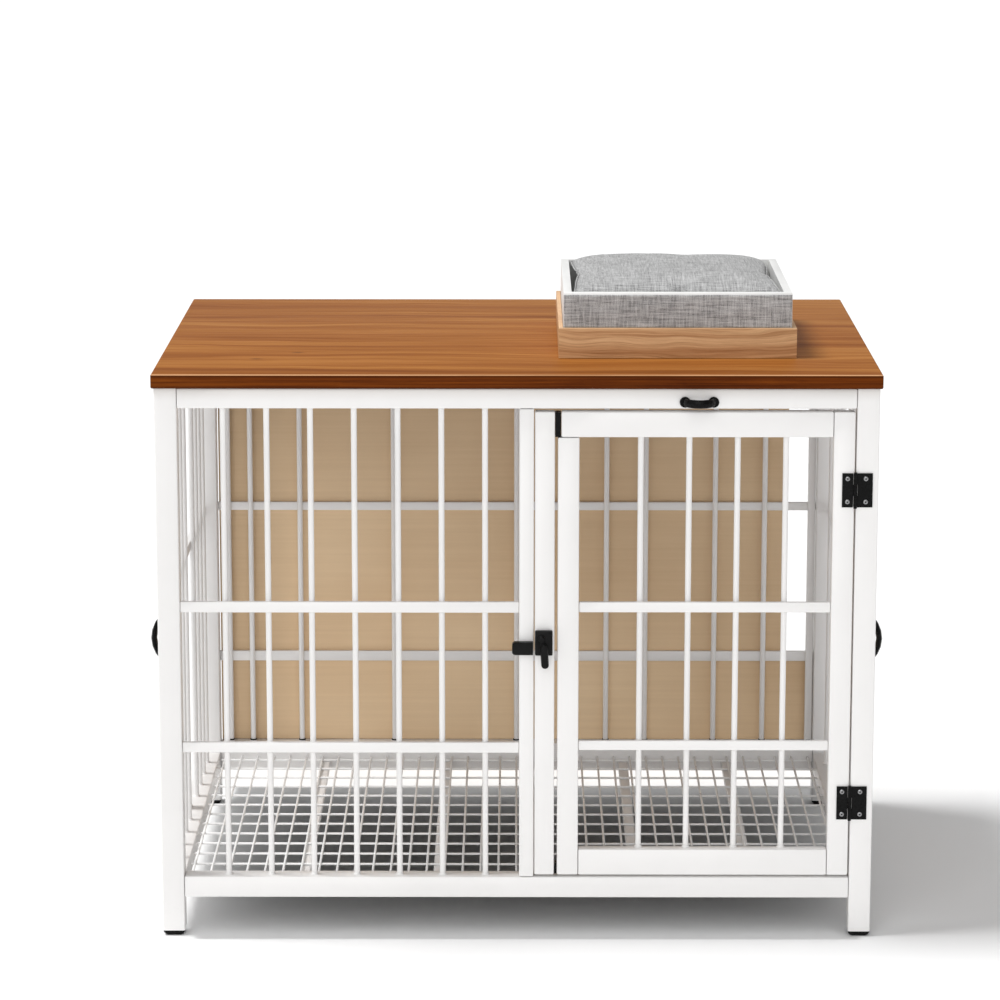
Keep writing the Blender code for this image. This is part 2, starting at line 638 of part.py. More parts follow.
# ---- door ----------------------------------------------------------------------------------------
def make_door(look):
    """Door frame, its grille and the latch stile that is linked to it. Returns the pieces."""
    steel = look["white_steel"]
    front, rear = FRONT, FRONT + DOOR_T
    left, right = DOOR_X
    bottom, top = DOOR_Z
    left_inner = left + DOOR_STILE_W
    right_inner = right - DOOR_STILE_W
    top_rail = top - DOOR_TOP_H
    sill = bottom + DOOR_BOTTOM_H
    pieces = [
        make_tube("door_hinge_stile", (right_inner, front, bottom), (right, rear, top), steel),
        make_tube("door_free_stile", (left, front, bottom), (left_inner, rear, top_rail - GAP), steel),
        make_tube("door_top_rail", (left + DOOR_NOTCH, front, top_rail),
                  (right_inner - GAP, rear, top), steel),
        make_tube("door_bottom_rail", (left_inner + GAP, front, bottom),
                  (right_inner - GAP, rear, sill), steel),
        make_tube("latch_stile", (LATCH_STILE_X[0], front, bottom), (LATCH_STILE_X[1], rear, top),
                  steel),
    ]
    bar_y = front + DOOR_BAR_SETBACK
    cross_y = (bar_y - BAR_R + CROSS_BITE - CROSS_T, bar_y - BAR_R + CROSS_BITE)
    flats = [((left_inner + GAP, cross_y[0], low), (right_inner - GAP, cross_y[1], high))
             for low, high in (DOOR_UPPER_CROSS, DOOR_LOWER_CROSS)]
    rods = []
    for i in range(DOOR_BAR_COUNT):
        x = DOOR_BAR_FIRST + i * DOOR_BAR_PITCH
        rods.append(((x, bar_y, sill + GAP), (x, bar_y, top_rail - GAP)))
    pieces.append(make_grille("door_grille", flats, rods, steel))

    black = look["black_steel"]
    link_left = LATCH_STILE_X[1] + GAP
    link_rear = rear - LINK_END_INSET
    link_top = top - LINK_END_INSET
    link_bottom = bottom + LINK_END_INSET
    pieces.append(make_box("stile_link_top",
                           (link_left, front + LINK_TOP_SETBACK, link_top - LINK_TOP_H),
                           (left + DOOR_NOTCH - GAP, link_rear, link_top), black, LINK_ROUND, 1))
    pieces.append(make_box("stile_link_bottom",
                           (link_left, front + LINK_BOTTOM_SETBACK, link_bottom),
                           (left - GAP, link_rear, link_bottom + LINK_BOTTOM_H), black,
                           LINK_ROUND, 1))
    return pieces


# ---- latch ---------------------------------------------------------------------------------------
def latch_way_box(start_x, length):
    """The slot that the bolt slides in, open at its start."""
    front_y = FRONT - GAP - LATCH_DEPTH
    ends = sorted((start_x, start_x + length))
    low = (ends[0], front_y + LATCH_WAY_WALL, LATCH_WAY_Z[0])
    high = (ends[1], FRONT - GAP - LATCH_WAY_WALL, LATCH_WAY_Z[1])
    return low, high


def make_keeper(material):
    """The keeper on the centre post: its left end is rounded, and its socket opens to the right."""
    left, right = KEEPER_X
    bottom, top = KEEPER_Z
    front_y = FRONT - GAP - LATCH_DEPTH
    steps = 5
    outline = [(right, front_y, bottom), (right, front_y, top)]
    for centre_z, first in ((top - KEEPER_ROUND, math.pi / 2), (bottom + KEEPER_ROUND, math.pi)):
        for i in range(steps + 1):
            angle = first + math.pi / 2 * i / steps
            outline.append((left + KEEPER_ROUND + KEEPER_ROUND * math.cos(angle), front_y,
                            centre_z + KEEPER_ROUND * math.sin(angle)))
    shape = bmesh.new()
    add_prism(shape, outline, (0, LATCH_DEPTH, 0))
    origin = ((left + right) / 2, FRONT - GAP, (bottom + top) / 2)
    keeper = new_object("latch_keeper", shape, origin, material)
    low, high = latch_way_box(right + LATCH_CUT_PAST, -KEEPER_WAY_LENGTH - LATCH_CUT_PAST)
    socket = bmesh.new()
    add_box(socket, low, high)
    combine(keeper, guide("latch_keeper_socket", socket, centre_of(low, high)), "DIFFERENCE")


def make_latch_case(material):
    """The latch's case: a slot for the bolt, open to the left, and a blind hole for the spindle."""
    front_y = FRONT - GAP - LATCH_DEPTH
    low = (LATCH_CASE_X[0], front_y, LATCH_CASE_Z[0])
    high = (LATCH_CASE_X[1], FRONT - GAP, LATCH_CASE_Z[1])
    case = make_box("latch_case", low, high, material, LATCH_CASE_ROUND, 2)
    way_low, way_high = latch_way_box(LATCH_CASE_X[0] - LATCH_CUT_PAST,
                                      CASE_WAY_LENGTH + LATCH_CUT_PAST)
    way = bmesh.new()
    add_box(way, way_low, way_high)
    combine(case, guide("latch_case_way", way, centre_of(way_low, way_high)), "DIFFERENCE")
    pivot = (LEVER_PIVOT[0], front_y, LEVER_PIVOT[1])
    hole = bmesh.new()
    add_rod(hole, (pivot[0], front_y - LATCH_CUT_PAST, pivot[2]),
            (pivot[0], front_y + SPINDLE_LENGTH + SPINDLE_END_CLEAR, pivot[2]), SPINDLE_HOLE_R, 24)
    combine(case, guide("latch_case_hole", hole, pivot), "DIFFERENCE")
    return case


def paddle_outline(inset):
    """The paddle's outline about the pivot: pointed head, straight sides and round foot."""
    left, right = PADDLE_X
    middle = (left + right) / 2
    half = (right - left) / 2 - inset
    head = PADDLE_HEAD - inset
    foot = PADDLE_FOOT + (right - left) / 2
    steps = 8
    rise = [i / steps for i in range(steps + 1)]
    side = [(half * (1 - t ** HEAD_POWER), PADDLE_SHOULDER + t * (head - PADDLE_SHOULDER)) for t in rise]
    outline = [(middle + x, z) for x, z in side]
    outline += [(middle - x, z) for x, z in reversed(side[:-1])]
    for i in range(steps + 1):
        angle = math.pi + math.pi * i / steps
        outline.append((middle + half * math.cos(angle), foot + half * math.sin(angle)))
    return outline


def make_lever(material):
    """The latch lever: a domed boss with its spindle, a neck and a raised paddle."""
    case_front = FRONT - GAP - LATCH_DEPTH
    back_y = case_front - LEVER_STAND_OFF
    pivot = Vector((LEVER_PIVOT[0], case_front, LEVER_PIVOT[1]))
    tilt = Matrix.Translation((pivot.x, back_y, pivot.z)) @ Matrix.Rotation(-LEVER_TILT, 4, "Y")
    paddle = bmesh.new()
    add_skin(paddle, [[(x, -ahead, z) for x, z in paddle_outline(inset)]
                      for inset, ahead in PADDLE_SECTIONS])
    paddle.transform(tilt)
    lever = new_object("latch_lever", paddle, pivot, material, 40.0)
    neck = bmesh.new()
    add_box(neck, (NECK_X[0], -NECK_T, NECK_END), (NECK_X[1], 0.0, 0.0))
    neck.transform(tilt)
    combine(lever, guide("latch_lever_neck", neck, pivot), "UNION")
    boss = bmesh.new()
    loops = []
    for radius, ahead in BOSS_PROFILE:
        ring = []
        for k in range(BOSS_SIDES):
            angle = 2 * math.pi * k / BOSS_SIDES
            ring.append((pivot.x + radius * math.cos(angle), case_front - GAP - ahead,
                         pivot.z + radius * math.sin(angle)))
        loops.append(ring)
    add_skin(boss, loops)
    combine(lever, guide("latch_lever_boss", boss, pivot), "UNION")
    spindle = bmesh.new()
    add_rod(spindle, (pivot.x, case_front + SPINDLE_LENGTH, pivot.z),
            (pivot.x, back_y - NECK_T / 2, pivot.z), SPINDLE_R, 24)
    combine(lever, guide("latch_lever_spindle", spindle, pivot), "UNION")


def make_bolt(material):
    """The latch bolt, drawn back into its case."""
    way_low, way_high = latch_way_box(LATCH_CASE_X[0], CASE_WAY_LENGTH)
    start = LATCH_CASE_X[0] + BOLT_BACKSET
    make_box("latch_bolt", (start, way_low[1] + BOLT_CLEAR, way_low[2] + BOLT_CLEAR),
             (start + BOLT_LENGTH, way_high[1] - BOLT_CLEAR, way_high[2] - BOLT_CLEAR), material,
             0.0008, 2)


# ---- bed -----------------------------------------------------------------------------------------
def make_open_frame(name, low, high, wall, material, round_by):
    """Four walls in one ring, open at the top and the bottom."""
    ring = make_box(name, low, high, material, round_by, 2)
    inset = Vector((wall, wall, -wall))
    hollow = bmesh.new()
    add_box(hollow, Vector(low) + inset, Vector(high) - inset)
    combine(ring, guide(name + "_hollow", hollow, centre_of(low, high)), "DIFFERENCE")
    return ring


def make_bed(look):
    """The tray, the box that sits in it and the cushion."""
    front = FRONT + TRAY_FRONT
    back = front + TRAY_D
    base_z = HEIGHT + GAP
    tray_low = Vector((TRAY_X[0], front, base_z))
    tray_high = Vector((TRAY_X[1], back, base_z + TRAY_H))
    make_open_frame("tray_walls", tray_low, tray_high, TRAY_WALL, look["ash"], 0.0008)
    step = TRAY_WALL + GAP
    make_box("tray_base", tray_low + Vector((step, step, 0)),
             (tray_high.x - step, back - step, base_z + TRAY_BASE_T), look["ash"], 0.0)

    step = TRAY_WALL + BOX_CLEAR
    box_z = base_z + TRAY_BASE_T + GAP
    box_low = Vector((TRAY_X[0] + step, front + step, box_z))
    box_high = Vector((TRAY_X[1] - step, back - step, box_z + BOX_H))
    make_open_frame("bed_box_walls", box_low, box_high, BOX_WALL, look["white_board"], 0.0010)
    step = BOX_WALL + GAP
    make_box("bed_box_base", box_low + Vector((step, step, 0)),
             (box_high.x - step, box_high.y - step, box_z + BOX_BASE_T), look["white_board"], 0.0)

    step = BOX_WALL + CUSHION_CLEAR
    cushion_z = box_z + BOX_BASE_T + GAP
    make_box("bed_cushion", (box_low.x + step, box_low.y + step, cushion_z),
             (box_high.x - step, box_high.y - step, cushion_z + CUSHION_H), look["grey_fabric"],
             CUSHION_ROUND, 4)


def main():
    """Build the crate in an empty scene."""
    for thing in list(bpy.data.objects):
        bpy.data.objects.remove(thing, do_unlink=True)
    look = make_materials()
    make_frame(look)
    make_front_grille(look)
    make_side_grille("left_grille", -1, look)
    make_side_grille("right_grille", 1, look)
    make_back(look)
    make_floor(look)
    make_handles(look)
    make_keeper(look["black_plastic"])
    door_pieces = make_door(look) + make_hinges(look) + [make_latch_case(look["black_plastic"])]
    hang_on(make_pivot("door_axis", (HINGE_X, HINGE_Y, DOOR_Z[0])), door_pieces)
    make_lever(look["black_plastic"])
    make_bolt(look["bolt_steel"])
    make_bed(look)


main()
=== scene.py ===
"""Looks of the furniture-style dog crate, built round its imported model.

The frame, door, latch and boards keep their own solids and get materials here. The welded wire
floor and the cushion are replaced by detailed pieces, and the fasteners, tube caps, weld beads and
the fabric on the box's front are added. Units are metres, +Z is up and the door faces -Y. Every mesh
is made in the model's own frame, so a material's object coordinates are metres on the crate.
"""

import math

import bmesh
import bpy
import numpy as np
from mathutils import Matrix, Vector


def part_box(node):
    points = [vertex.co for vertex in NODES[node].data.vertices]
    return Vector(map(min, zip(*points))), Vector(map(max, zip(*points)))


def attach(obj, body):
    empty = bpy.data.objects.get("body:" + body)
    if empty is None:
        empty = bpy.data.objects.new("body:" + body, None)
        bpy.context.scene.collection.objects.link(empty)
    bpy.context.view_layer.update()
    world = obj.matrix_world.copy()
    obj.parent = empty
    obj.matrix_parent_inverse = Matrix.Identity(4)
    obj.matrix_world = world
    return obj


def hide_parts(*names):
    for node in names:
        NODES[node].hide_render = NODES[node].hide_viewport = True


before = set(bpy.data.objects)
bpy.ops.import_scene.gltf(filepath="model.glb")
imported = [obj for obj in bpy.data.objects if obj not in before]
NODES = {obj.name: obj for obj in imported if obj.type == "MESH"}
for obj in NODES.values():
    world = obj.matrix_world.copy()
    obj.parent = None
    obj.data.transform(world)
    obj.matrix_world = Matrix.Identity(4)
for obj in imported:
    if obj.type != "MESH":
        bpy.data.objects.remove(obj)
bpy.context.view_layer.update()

MM = 0.001
PAINTED_SHADE_END = (-0.320, -0.415)          # painted shade: the back boards' colour darkens towards this end
BOARD_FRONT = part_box("top_board")[0].y
BOARD_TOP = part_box("top_board")[1].z
BOARD_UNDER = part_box("top_board")[0].z
UNDER_BOARD_PAINTED_SHADE = (0.84, 0.82, 0.80)  # painted shade on the white steel just under the top board

# ---- camera and light ----------------------------------------------------------------------------
CAMERA_PLACE = (0.0, -5.4547, 1.6561)
CAMERA_DOWN = 11.397                 # degrees below the horizon
CAMERA_LEFT = 0.2563                 # degrees turned to the left
CAMERA_LENS = 136.8                  # millimetres, on a 36 mm sensor
FLOOR_REACH = 40.0
ROOM_LIGHT = 0.36
KEY_TOWARDS = (-0.46, 0.04, 1.0)
KEY_STRENGTH = 2.50
KEY_SOFTNESS = 20.0
FILL_TOWARDS = (-0.14, -1.0, 0.52)
FILL_STRENGTH = 1.03
FILL_SOFTNESS = 55.0
CARD_HEIGHT = 0.034                  # the reflector under the crate
CARD_FORWARD = 0.016                 # in front of the bottom rail
CARD_BEHIND = 0.075                  # behind the back rail

# ---- sizes of the added pieces -------------------------------------------------------------------
WIRE_R = 1.65 * MM
WIRE_PITCH_X = 25.4 * MM             # between wires that run front to back
WIRE_PITCH_Y = 50.8 * MM             # between wires that run left to right
WIRE_EDGE = 1.2 * MM                 # wire ends stop this far from the rails
WELD_SINK = 0.4 * MM                 # crossing wires melt into each other this far

SCREW_R = 3.3 * MM
SCREW_H = 1.3 * MM
SCREW_SIDES = 36

CAP_DEPTH = 9.0 * MM
TUBE_WALL = 1.5 * MM

BAR_R = 4.1 * MM
BEAD_R = 6.0 * MM
BEAD_H = 2.2 * MM
COLLAR_R = 5.2 * MM

PANEL_INSET = 10.0 * MM              # panel screws from the boards' edges
PANEL_SCREWS = 6

FRONT_RIM = 2.6 * MM                 # white rim left above the fabric on the box's front
FABRIC_T = 0.35 * MM
PAD_T = 1.5 * MM

CUSHION_COLUMNS = 60
CUSHION_ROWS = 66
CUSHION_FRAMES = 36
SEAM_R = 1.1 * MM
SEAM_BELOW_RIM = 4.0 * MM
FIRM_EDGES = 0.85                    # how far the blown pillow's pull-in is taken back
FULLNESS = 0.55                      # below 1 the crown is flatter and fuller near its edges
DIP_X = 0.2500                       # a shallow dip across the crown
DIP_DEPTH = 3.0 * MM
SLOPE_REACH = 68 * MM                # the cushion's four slopes rise over this distance
SLOPE_POWER = 2.3
RIDGES = 0.25                        # how far the slopes meet in ridges instead of one dome
CROWN_BELOW = 2.6 * MM               # the crown stays this far under its block's top
FOLD_STEP = 12.0 * MM                 # drop of the cloth outside the folds at the front corners
FOLD_SHARPNESS = 1.5 * MM
FOLD_LENGTH = 115 * MM
FOLD_REACH = 70 * MM


# ---- node helpers --------------------------------------------------------------------------------
def add_node(tree, kind, **settings):
    """A new shader node with its settings."""
    made = tree.nodes.new(kind)
    for key, value in settings.items():
        setattr(made, key, value)
    return made


def feed(tree, socket, value):
    """Link an output to an input, or set the input's value."""
    if isinstance(value, bpy.types.NodeSocket):
        tree.links.new(value, socket)
    else:
        socket.default_value = value


def start_material(name, roughness, **constants):
    """A new material. Returns it with its tree and its Principled shader."""
    material = bpy.data.materials.new(name)
    material.use_nodes = True
    tree = material.node_tree
    shader = tree.nodes["Principled BSDF"]
    shader.inputs["Roughness"].default_value = roughness
    for key, value in constants.items():
        shader.inputs[key.replace("_", " ").title().replace("Ior", "IOR")].default_value = value
    return material, tree, shader


def place(tree, scale=(1, 1, 1), offset=(0, 0, 0), turn=(0, 0, 0), source=None):
    """Object coordinates in metres, stretched, turned and shifted."""
    mapping = add_node(tree, "ShaderNodeMapping")
    if source is None:
        source = add_node(tree, "ShaderNodeTexCoord").outputs["Object"]
    feed(tree, mapping.inputs["Vector"], source)
    mapping.inputs["Scale"].default_value = scale
    mapping.inputs["Location"].default_value = offset
    mapping.inputs["Rotation"].default_value = [math.radians(angle) for angle in turn]
    return mapping.outputs["Vector"]


def noise(tree, vector, scale=1.0, detail=3.0, rough=0.5, distortion=0.0):
    """Noise as a number from 0 to 1."""
    texture = add_node(tree, "ShaderNodeTexNoise")
    feed(tree, texture.inputs["Vector"], vector)
    texture.inputs["Scale"].default_value = scale
    texture.inputs["Detail"].default_value = detail
    texture.inputs["Roughness"].default_value = rough
    texture.inputs["Distortion"].default_value = distortion
    return texture.outputs[0]


def ramp(tree, value, *stops):
    """Colours or greys along a value. A stop is (position, colour) or (position, grey)."""
    made = add_node(tree, "ShaderNodeValToRGB")
    feed(tree, made.inputs[0], value)
    elements = made.color_ramp.elements
    while len(elements) < len(stops):
        elements.new(0.5)
    for element, (position, colour) in zip(elements, stops):
        element.position = position
        grey = isinstance(colour, (int, float))
        element.color = (colour, colour, colour, 1.0) if grey else (*colour, 1.0)
    return made.outputs[0]


def mix(tree, share, first, second, blend="MIX"):
    """Blend two colours."""
    made = add_node(tree, "ShaderNodeMix", data_type="RGBA", blend_type=blend)
    feed(tree, made.inputs[0], share)
    for socket, value in ((made.inputs[6], first), (made.inputs[7], second)):
        feed(tree, socket, value if isinstance(value, bpy.types.NodeSocket) else (*value, 1.0))
    return made.outputs[2]


def calc(tree, operation, *values):
    """A Math node."""
    made = add_node(tree, "ShaderNodeMath", operation=operation)
    for socket, value in zip(made.inputs, values):
        feed(tree, socket, value)
    return made.outputs[0]


def span(tree, value, low, high, to_low=0.0, to_high=1.0):
    """Map a value's range smoothly to another."""
    made = add_node(tree, "ShaderNodeMapRange", interpolation_type="SMOOTHSTEP")
    for socket, number in zip(made.inputs, (value, low, high, to_low, to_high)):
        feed(tree, socket, number)
    return made.outputs[0]


def axes(tree, vector=None):
    """The three parts of object coordinates, or of another vector."""
    made = add_node(tree, "ShaderNodeSeparateXYZ")
    if vector is None:
        vector = add_node(tree, "ShaderNodeTexCoord").outputs["Object"]
    feed(tree, made.inputs[0], vector)
    return made.outputs


def add_bump(tree, shader, *layers):
    """Chain bump nodes. A layer is (height, strength, distance)."""
    normal = None
    for height, strength, distance in layers:
        made = add_node(tree, "ShaderNodeBump")
        made.inputs["Strength"].default_value = strength
        made.inputs["Distance"].default_value = distance
        feed(tree, made.inputs["Height"], height)
        if normal is not None:
            feed(tree, made.inputs["Normal"], normal)
        normal = made.outputs[0]
    feed(tree, shader.inputs["Normal"], normal)


# ---- materials -----------------------------------------------------------------------------------
def powder_coat(name, light, dark, roughness=(0.34, 0.46)):
    """White powder coat: a faint orange peel, soft colour drift, specks of dust near the ground and painted
    shade just under the top board.
    """
    material, tree, shader = start_material(name, 0.4, coat_weight=0.12, coat_roughness=0.3)
    drift = noise(tree, place(tree), 5.0, 4.0, 0.6)
    colour = ramp(tree, drift, (0.30, dark), (0.62, light))
    height = axes(tree)[2]
    dust = noise(tree, place(tree), 160.0, 4.0, 0.7)
    low_down = span(tree, height, 0.16, 0.0)
    dusty = calc(tree, "MULTIPLY", ramp(tree, dust, (0.58, 0.0), (0.80, 0.16)), low_down)
    colour = mix(tree, dusty, colour, (0.60, 0.58, 0.54))
    # painted shade: the white steel is darkened just under the top board
    under_board_shade = span(tree, height, BOARD_UNDER - 0.020, BOARD_UNDER)
    colour = mix(tree, under_board_shade, colour, UNDER_BOARD_PAINTED_SHADE, "MULTIPLY")
    feed(tree, shader.inputs["Base Color"], colour)
    matt = ramp(tree, noise(tree, place(tree), 40.0, 3.0), (0.3, roughness[0]), (0.7, roughness[1]))
    feed(tree, shader.inputs["Roughness"], matt)
    add_bump(tree, shader, (noise(tree, place(tree), 620.0, 2.0), 0.16, 0.00025))
    return material


def black_metal(name, base, roughness, grain):
    """Black painted metal or plastic with a fine texture."""
    material, tree, shader = start_material(name, roughness[0], specular_ior_level=0.10)
    drift = noise(tree, place(tree), 60.0, 4.0, 0.6)
    lighter = tuple(channel * 2.2 for channel in base)
    feed(tree, shader.inputs["Base Color"], ramp(tree, drift, (0.35, base), (0.75, lighter)))
    matt = ramp(tree, noise(tree, place(tree), 220.0, 3.0), (0.3, roughness[0]), (0.7, roughness[1]))
    feed(tree, shader.inputs["Roughness"], matt)
    add_bump(tree, shader, (noise(tree, place(tree), 1400.0, 2.0), grain, 0.0002))
    return material


def bare_steel():
    """Zinc-plated steel with fine brushing."""
    material, tree, shader = start_material("bare_steel", 0.3, metallic=1.0)
    brushed = noise(tree, place(tree, (40, 40, 1600)), 1.0, 3.0)
    feed(tree, shader.inputs["Base Color"],
         ramp(tree, brushed, (0.3, (0.24, 0.24, 0.245)), (0.7, (0.36, 0.36, 0.365))))
    feed(tree, shader.inputs["Roughness"], ramp(tree, brushed, (0.3, 0.26), (0.7, 0.42)))
    add_bump(tree, shader, (brushed, 0.15, 0.0001))
    return material


def knot_field(tree, x, y, centre, size):
    """How near a point on the board is to a knot: 1 at its middle, 0 outside."""
    across = calc(tree, "MULTIPLY", calc(tree, "SUBTRACT", x, centre[0]), 0.55)
    along = calc(tree, "SUBTRACT", y, centre[1])
    squares = calc(tree, "ADD", calc(tree, "MULTIPLY", across, across),
                   calc(tree, "MULTIPLY", along, along))
    distance = calc(tree, "SQRT", squares)
    return span(tree, distance, size, 0.0), along


def top_wood():
    """Brown wood-grain board: long streaks, flowing figure, two small knots, a darker edge that is partly its
    own tone and partly painted shade, painted dark lines along that edge and a painted highlight along its top
    front corner.
    """
    material, tree, shader = start_material("top_wood", 0.46, specular_ior_level=0.05)
    x, y, z = axes(tree)
    bend = calc(tree, "MULTIPLY", noise(tree, place(tree, (0.9, 3.0, 3.0)), 2.0, 3.0), 0.11)
    flowing = calc(tree, "ADD", y, bend)
    knots = None
    for centre in ((-0.3092, -0.1540), (-0.3639, -0.2111)):
        wide, along = knot_field(tree, x, y, centre, 0.060)
        push = calc(tree, "MULTIPLY", calc(tree, "MULTIPLY", wide, along), -0.55)
        flowing = calc(tree, "ADD", flowing, push)
        core, _ = knot_field(tree, x, y, centre, 0.0075)
        knots = core if knots is None else calc(tree, "MAXIMUM", knots, core)
    joined = add_node(tree, "ShaderNodeCombineXYZ")
    for socket, value in zip(joined.inputs, (x, flowing, z)):
        feed(tree, socket, value)
    warped = joined.outputs[0]
    figure = noise(tree, place(tree, (0.8, 17.0, 9.0), source=warped), 1.0, 5.0, 0.55, 0.7)
    streaks = noise(tree, place(tree, (2.2, 95.0, 240.0), source=warped), 1.0, 5.0, 0.65)
    fibre = noise(tree, place(tree, (22.0, 900.0, 700.0), source=warped), 1.0, 3.0, 0.7)
    colour = ramp(tree, figure, (0.30, (0.270, 0.086, 0.015)), (0.44, (0.362, 0.129, 0.026)),
                  (0.56, (0.440, 0.176, 0.040)), (0.70, (0.500, 0.220, 0.058)))
    streak_colour = ramp(tree, streaks, (0.36, (0.60, 0.50, 0.44)), (0.62, (1.0, 1.0, 1.0)))
    colour = mix(tree, 0.62, colour, streak_colour, "MULTIPLY")
    fine = ramp(tree, fibre, (0.34, (0.70, 0.64, 0.58)), (0.60, (1.0, 1.0, 1.0)))
    colour = mix(tree, 0.40, colour, fine, "MULTIPLY")
    colour = mix(tree, calc(tree, "MULTIPLY", knots, 0.72), colour, (0.11, 0.040, 0.014))
    side = span(tree, z, BOARD_TOP - 0.0010, BOARD_TOP - 0.0025)
    ends = noise(tree, place(tree, (2.5, 2.5, 330.0), source=warped), 1.0, 4.0, 0.65)
    end_grain = ramp(tree, ends, (0.34, (0.55, 0.48, 0.42)), (0.62, (1.30, 1.30, 1.30)))
    colour = mix(tree, side, colour, end_grain, "MULTIPLY")
    # the edge faces are darker: partly the edge's own tone, partly painted shade for a face that gets less
    # light than the top
    colour = mix(tree, side, colour, (0.43, 0.28, 0.10), "MULTIPLY")
    # dark lines are painted along the top and bottom of the edge face; they are not part of the wood's figure
    lines = calc(tree, "MAXIMUM", span(tree, z, BOARD_TOP - 0.0044, BOARD_TOP - 0.0028),
                 span(tree, z, BOARD_UNDER + 0.0032, BOARD_UNDER + 0.0018))
    lines = calc(tree, "MULTIPLY", lines, span(tree, z, BOARD_TOP - 0.0008, BOARD_TOP - 0.0014))
    colour = mix(tree, calc(tree, "MULTIPLY", lines, 0.70), colour, (0.062, 0.014, 0.002))
    # painted highlight: a pale line along the top front edge, where the rounded edge catches light
    front_rim = calc(tree, "MULTIPLY", span(tree, y, BOARD_FRONT + 0.0032, BOARD_FRONT + 0.0022),
                     span(tree, z, BOARD_TOP - 0.0013, BOARD_TOP - 0.0007))
    painted_edge_highlight = calc(tree, "MULTIPLY", front_rim, span(tree, streaks, 0.30, 0.55, 0.45, 0.85))
    colour = mix(tree, painted_edge_highlight, colour, (0.66, 0.38, 0.20))
    feed(tree, shader.inputs["Base Color"], colour)
    feed(tree, shader.inputs["Roughness"], ramp(tree, streaks, (0.3, 0.50), (0.7, 0.38)))
    add_bump(tree, shader, (fibre, 0.20, 0.0002), (streaks, 0.10, 0.0006))
    return material


def tray_wood():
    """Pale ash: flowing rings along each board, fine dark pores and a painted highlight along the top rim."""
    material, tree, shader = start_material("tray_wood", 0.55, specular_ior_level=0.2)
    x, y, z = axes(tree)
    bend = calc(tree, "MULTIPLY", noise(tree, place(tree, (4.0, 4.0, 10.0)), 1.0, 2.0), 0.070)
    joined = add_node(tree, "ShaderNodeCombineXYZ")
    for socket, value in zip(joined.inputs, (x, y, calc(tree, "ADD", z, bend))):
        feed(tree, socket, value)
    warped = joined.outputs[0]
    rings = noise(tree, place(tree, (1.6, 1.6, 150.0), source=warped), 1.0, 3.0, 0.55)
    lines = noise(tree, place(tree, (6.0, 6.0, 520.0), source=warped), 1.0, 4.0, 0.6)
    pores = noise(tree, place(tree, (50.0, 50.0, 1500.0), source=warped), 1.0, 3.0, 0.7)
    colour = ramp(tree, rings, (0.34, (0.508, 0.274, 0.126)), (0.47, (0.650, 0.388, 0.197)),
                  (0.60, (0.728, 0.464, 0.248)))
    thin = ramp(tree, lines, (0.34, (0.68, 0.60, 0.52)), (0.52, (1.0, 1.0, 1.0)))
    colour = mix(tree, 0.75, colour, thin, "MULTIPLY")
    fine = ramp(tree, pores, (0.36, (0.74, 0.68, 0.62)), (0.56, (1.0, 1.0, 1.0)))
    colour = mix(tree, 0.45, colour, fine, "MULTIPLY")
    # painted highlight: a lighter line along the tray's top rim
    rim = span(tree, z, 0.8418, 0.8426)
    colour = mix(tree, calc(tree, "MULTIPLY", rim, 0.55), colour, (0.72, 0.50, 0.32))
    feed(tree, shader.inputs["Base Color"], colour)
    add_bump(tree, shader, (pores, 0.22, 0.0002), (lines, 0.08, 0.0004))
    return material


def panel_board():
    """Tan back boards: a smooth foil with a faint cloudy tone and a hint of grain, with painted shade towards
    the -X end and painted light lower down.
    """
    material, tree, shader = start_material("panel_board", 0.58, specular_ior_level=0.25)
    cloud = noise(tree, place(tree, (1.6, 1.0, 2.4)), 1.6, 3.0)
    grain = noise(tree, place(tree, (3.0, 60.0, 160.0)), 1.0, 4.0, 0.6)
    colour = ramp(tree, cloud, (0.30, (0.700, 0.500, 0.305)), (0.70, (0.785, 0.590, 0.378)))
    fine = ramp(tree, grain, (0.30, (0.92, 0.90, 0.88)), (0.65, (1.0, 1.0, 1.0)))
    colour = mix(tree, 0.6, colour, fine, "MULTIPLY")
    x, _, z = axes(tree)
    # painted shade: the boards' colour darkens towards the -X end
    colour = mix(tree, span(tree, x, *PAINTED_SHADE_END), colour, (0.82, 0.81, 0.80), "MULTIPLY")
    # painted light: the boards are brightened lower down and towards -X
    pale = span(tree, calc(tree, "ADD", z, calc(tree, "MULTIPLY", x, 0.45)), 0.52, 0.20)
    colour = mix(tree, pale, colour, (1.17, 1.19, 1.21), "MULTIPLY")
    feed(tree, shader.inputs["Base Color"], colour)
    feed(tree, shader.inputs["Roughness"], ramp(tree, grain, (0.3, 0.62), (0.7, 0.50)))
    add_bump(tree, shader, (grain, 0.10, 0.0003))
    return material


def painted_board():
    """White painted board with faint brush lines."""
    material, tree, shader = start_material("painted_board", 0.48, coat_weight=0.08,
                                            coat_roughness=0.35)
    drift = noise(tree, place(tree), 14.0, 4.0, 0.6)
    brush = noise(tree, place(tree, (30.0, 30.0, 700.0)), 1.0, 3.0)
    feed(tree, shader.inputs["Base Color"],
         ramp(tree, drift, (0.3, (0.80, 0.80, 0.785)), (0.7, (0.86, 0.86, 0.85))))
    feed(tree, shader.inputs["Roughness"], ramp(tree, brush, (0.3, 0.40), (0.7, 0.54)))
    add_bump(tree, shader, (brush, 0.10, 0.0002))
    return material


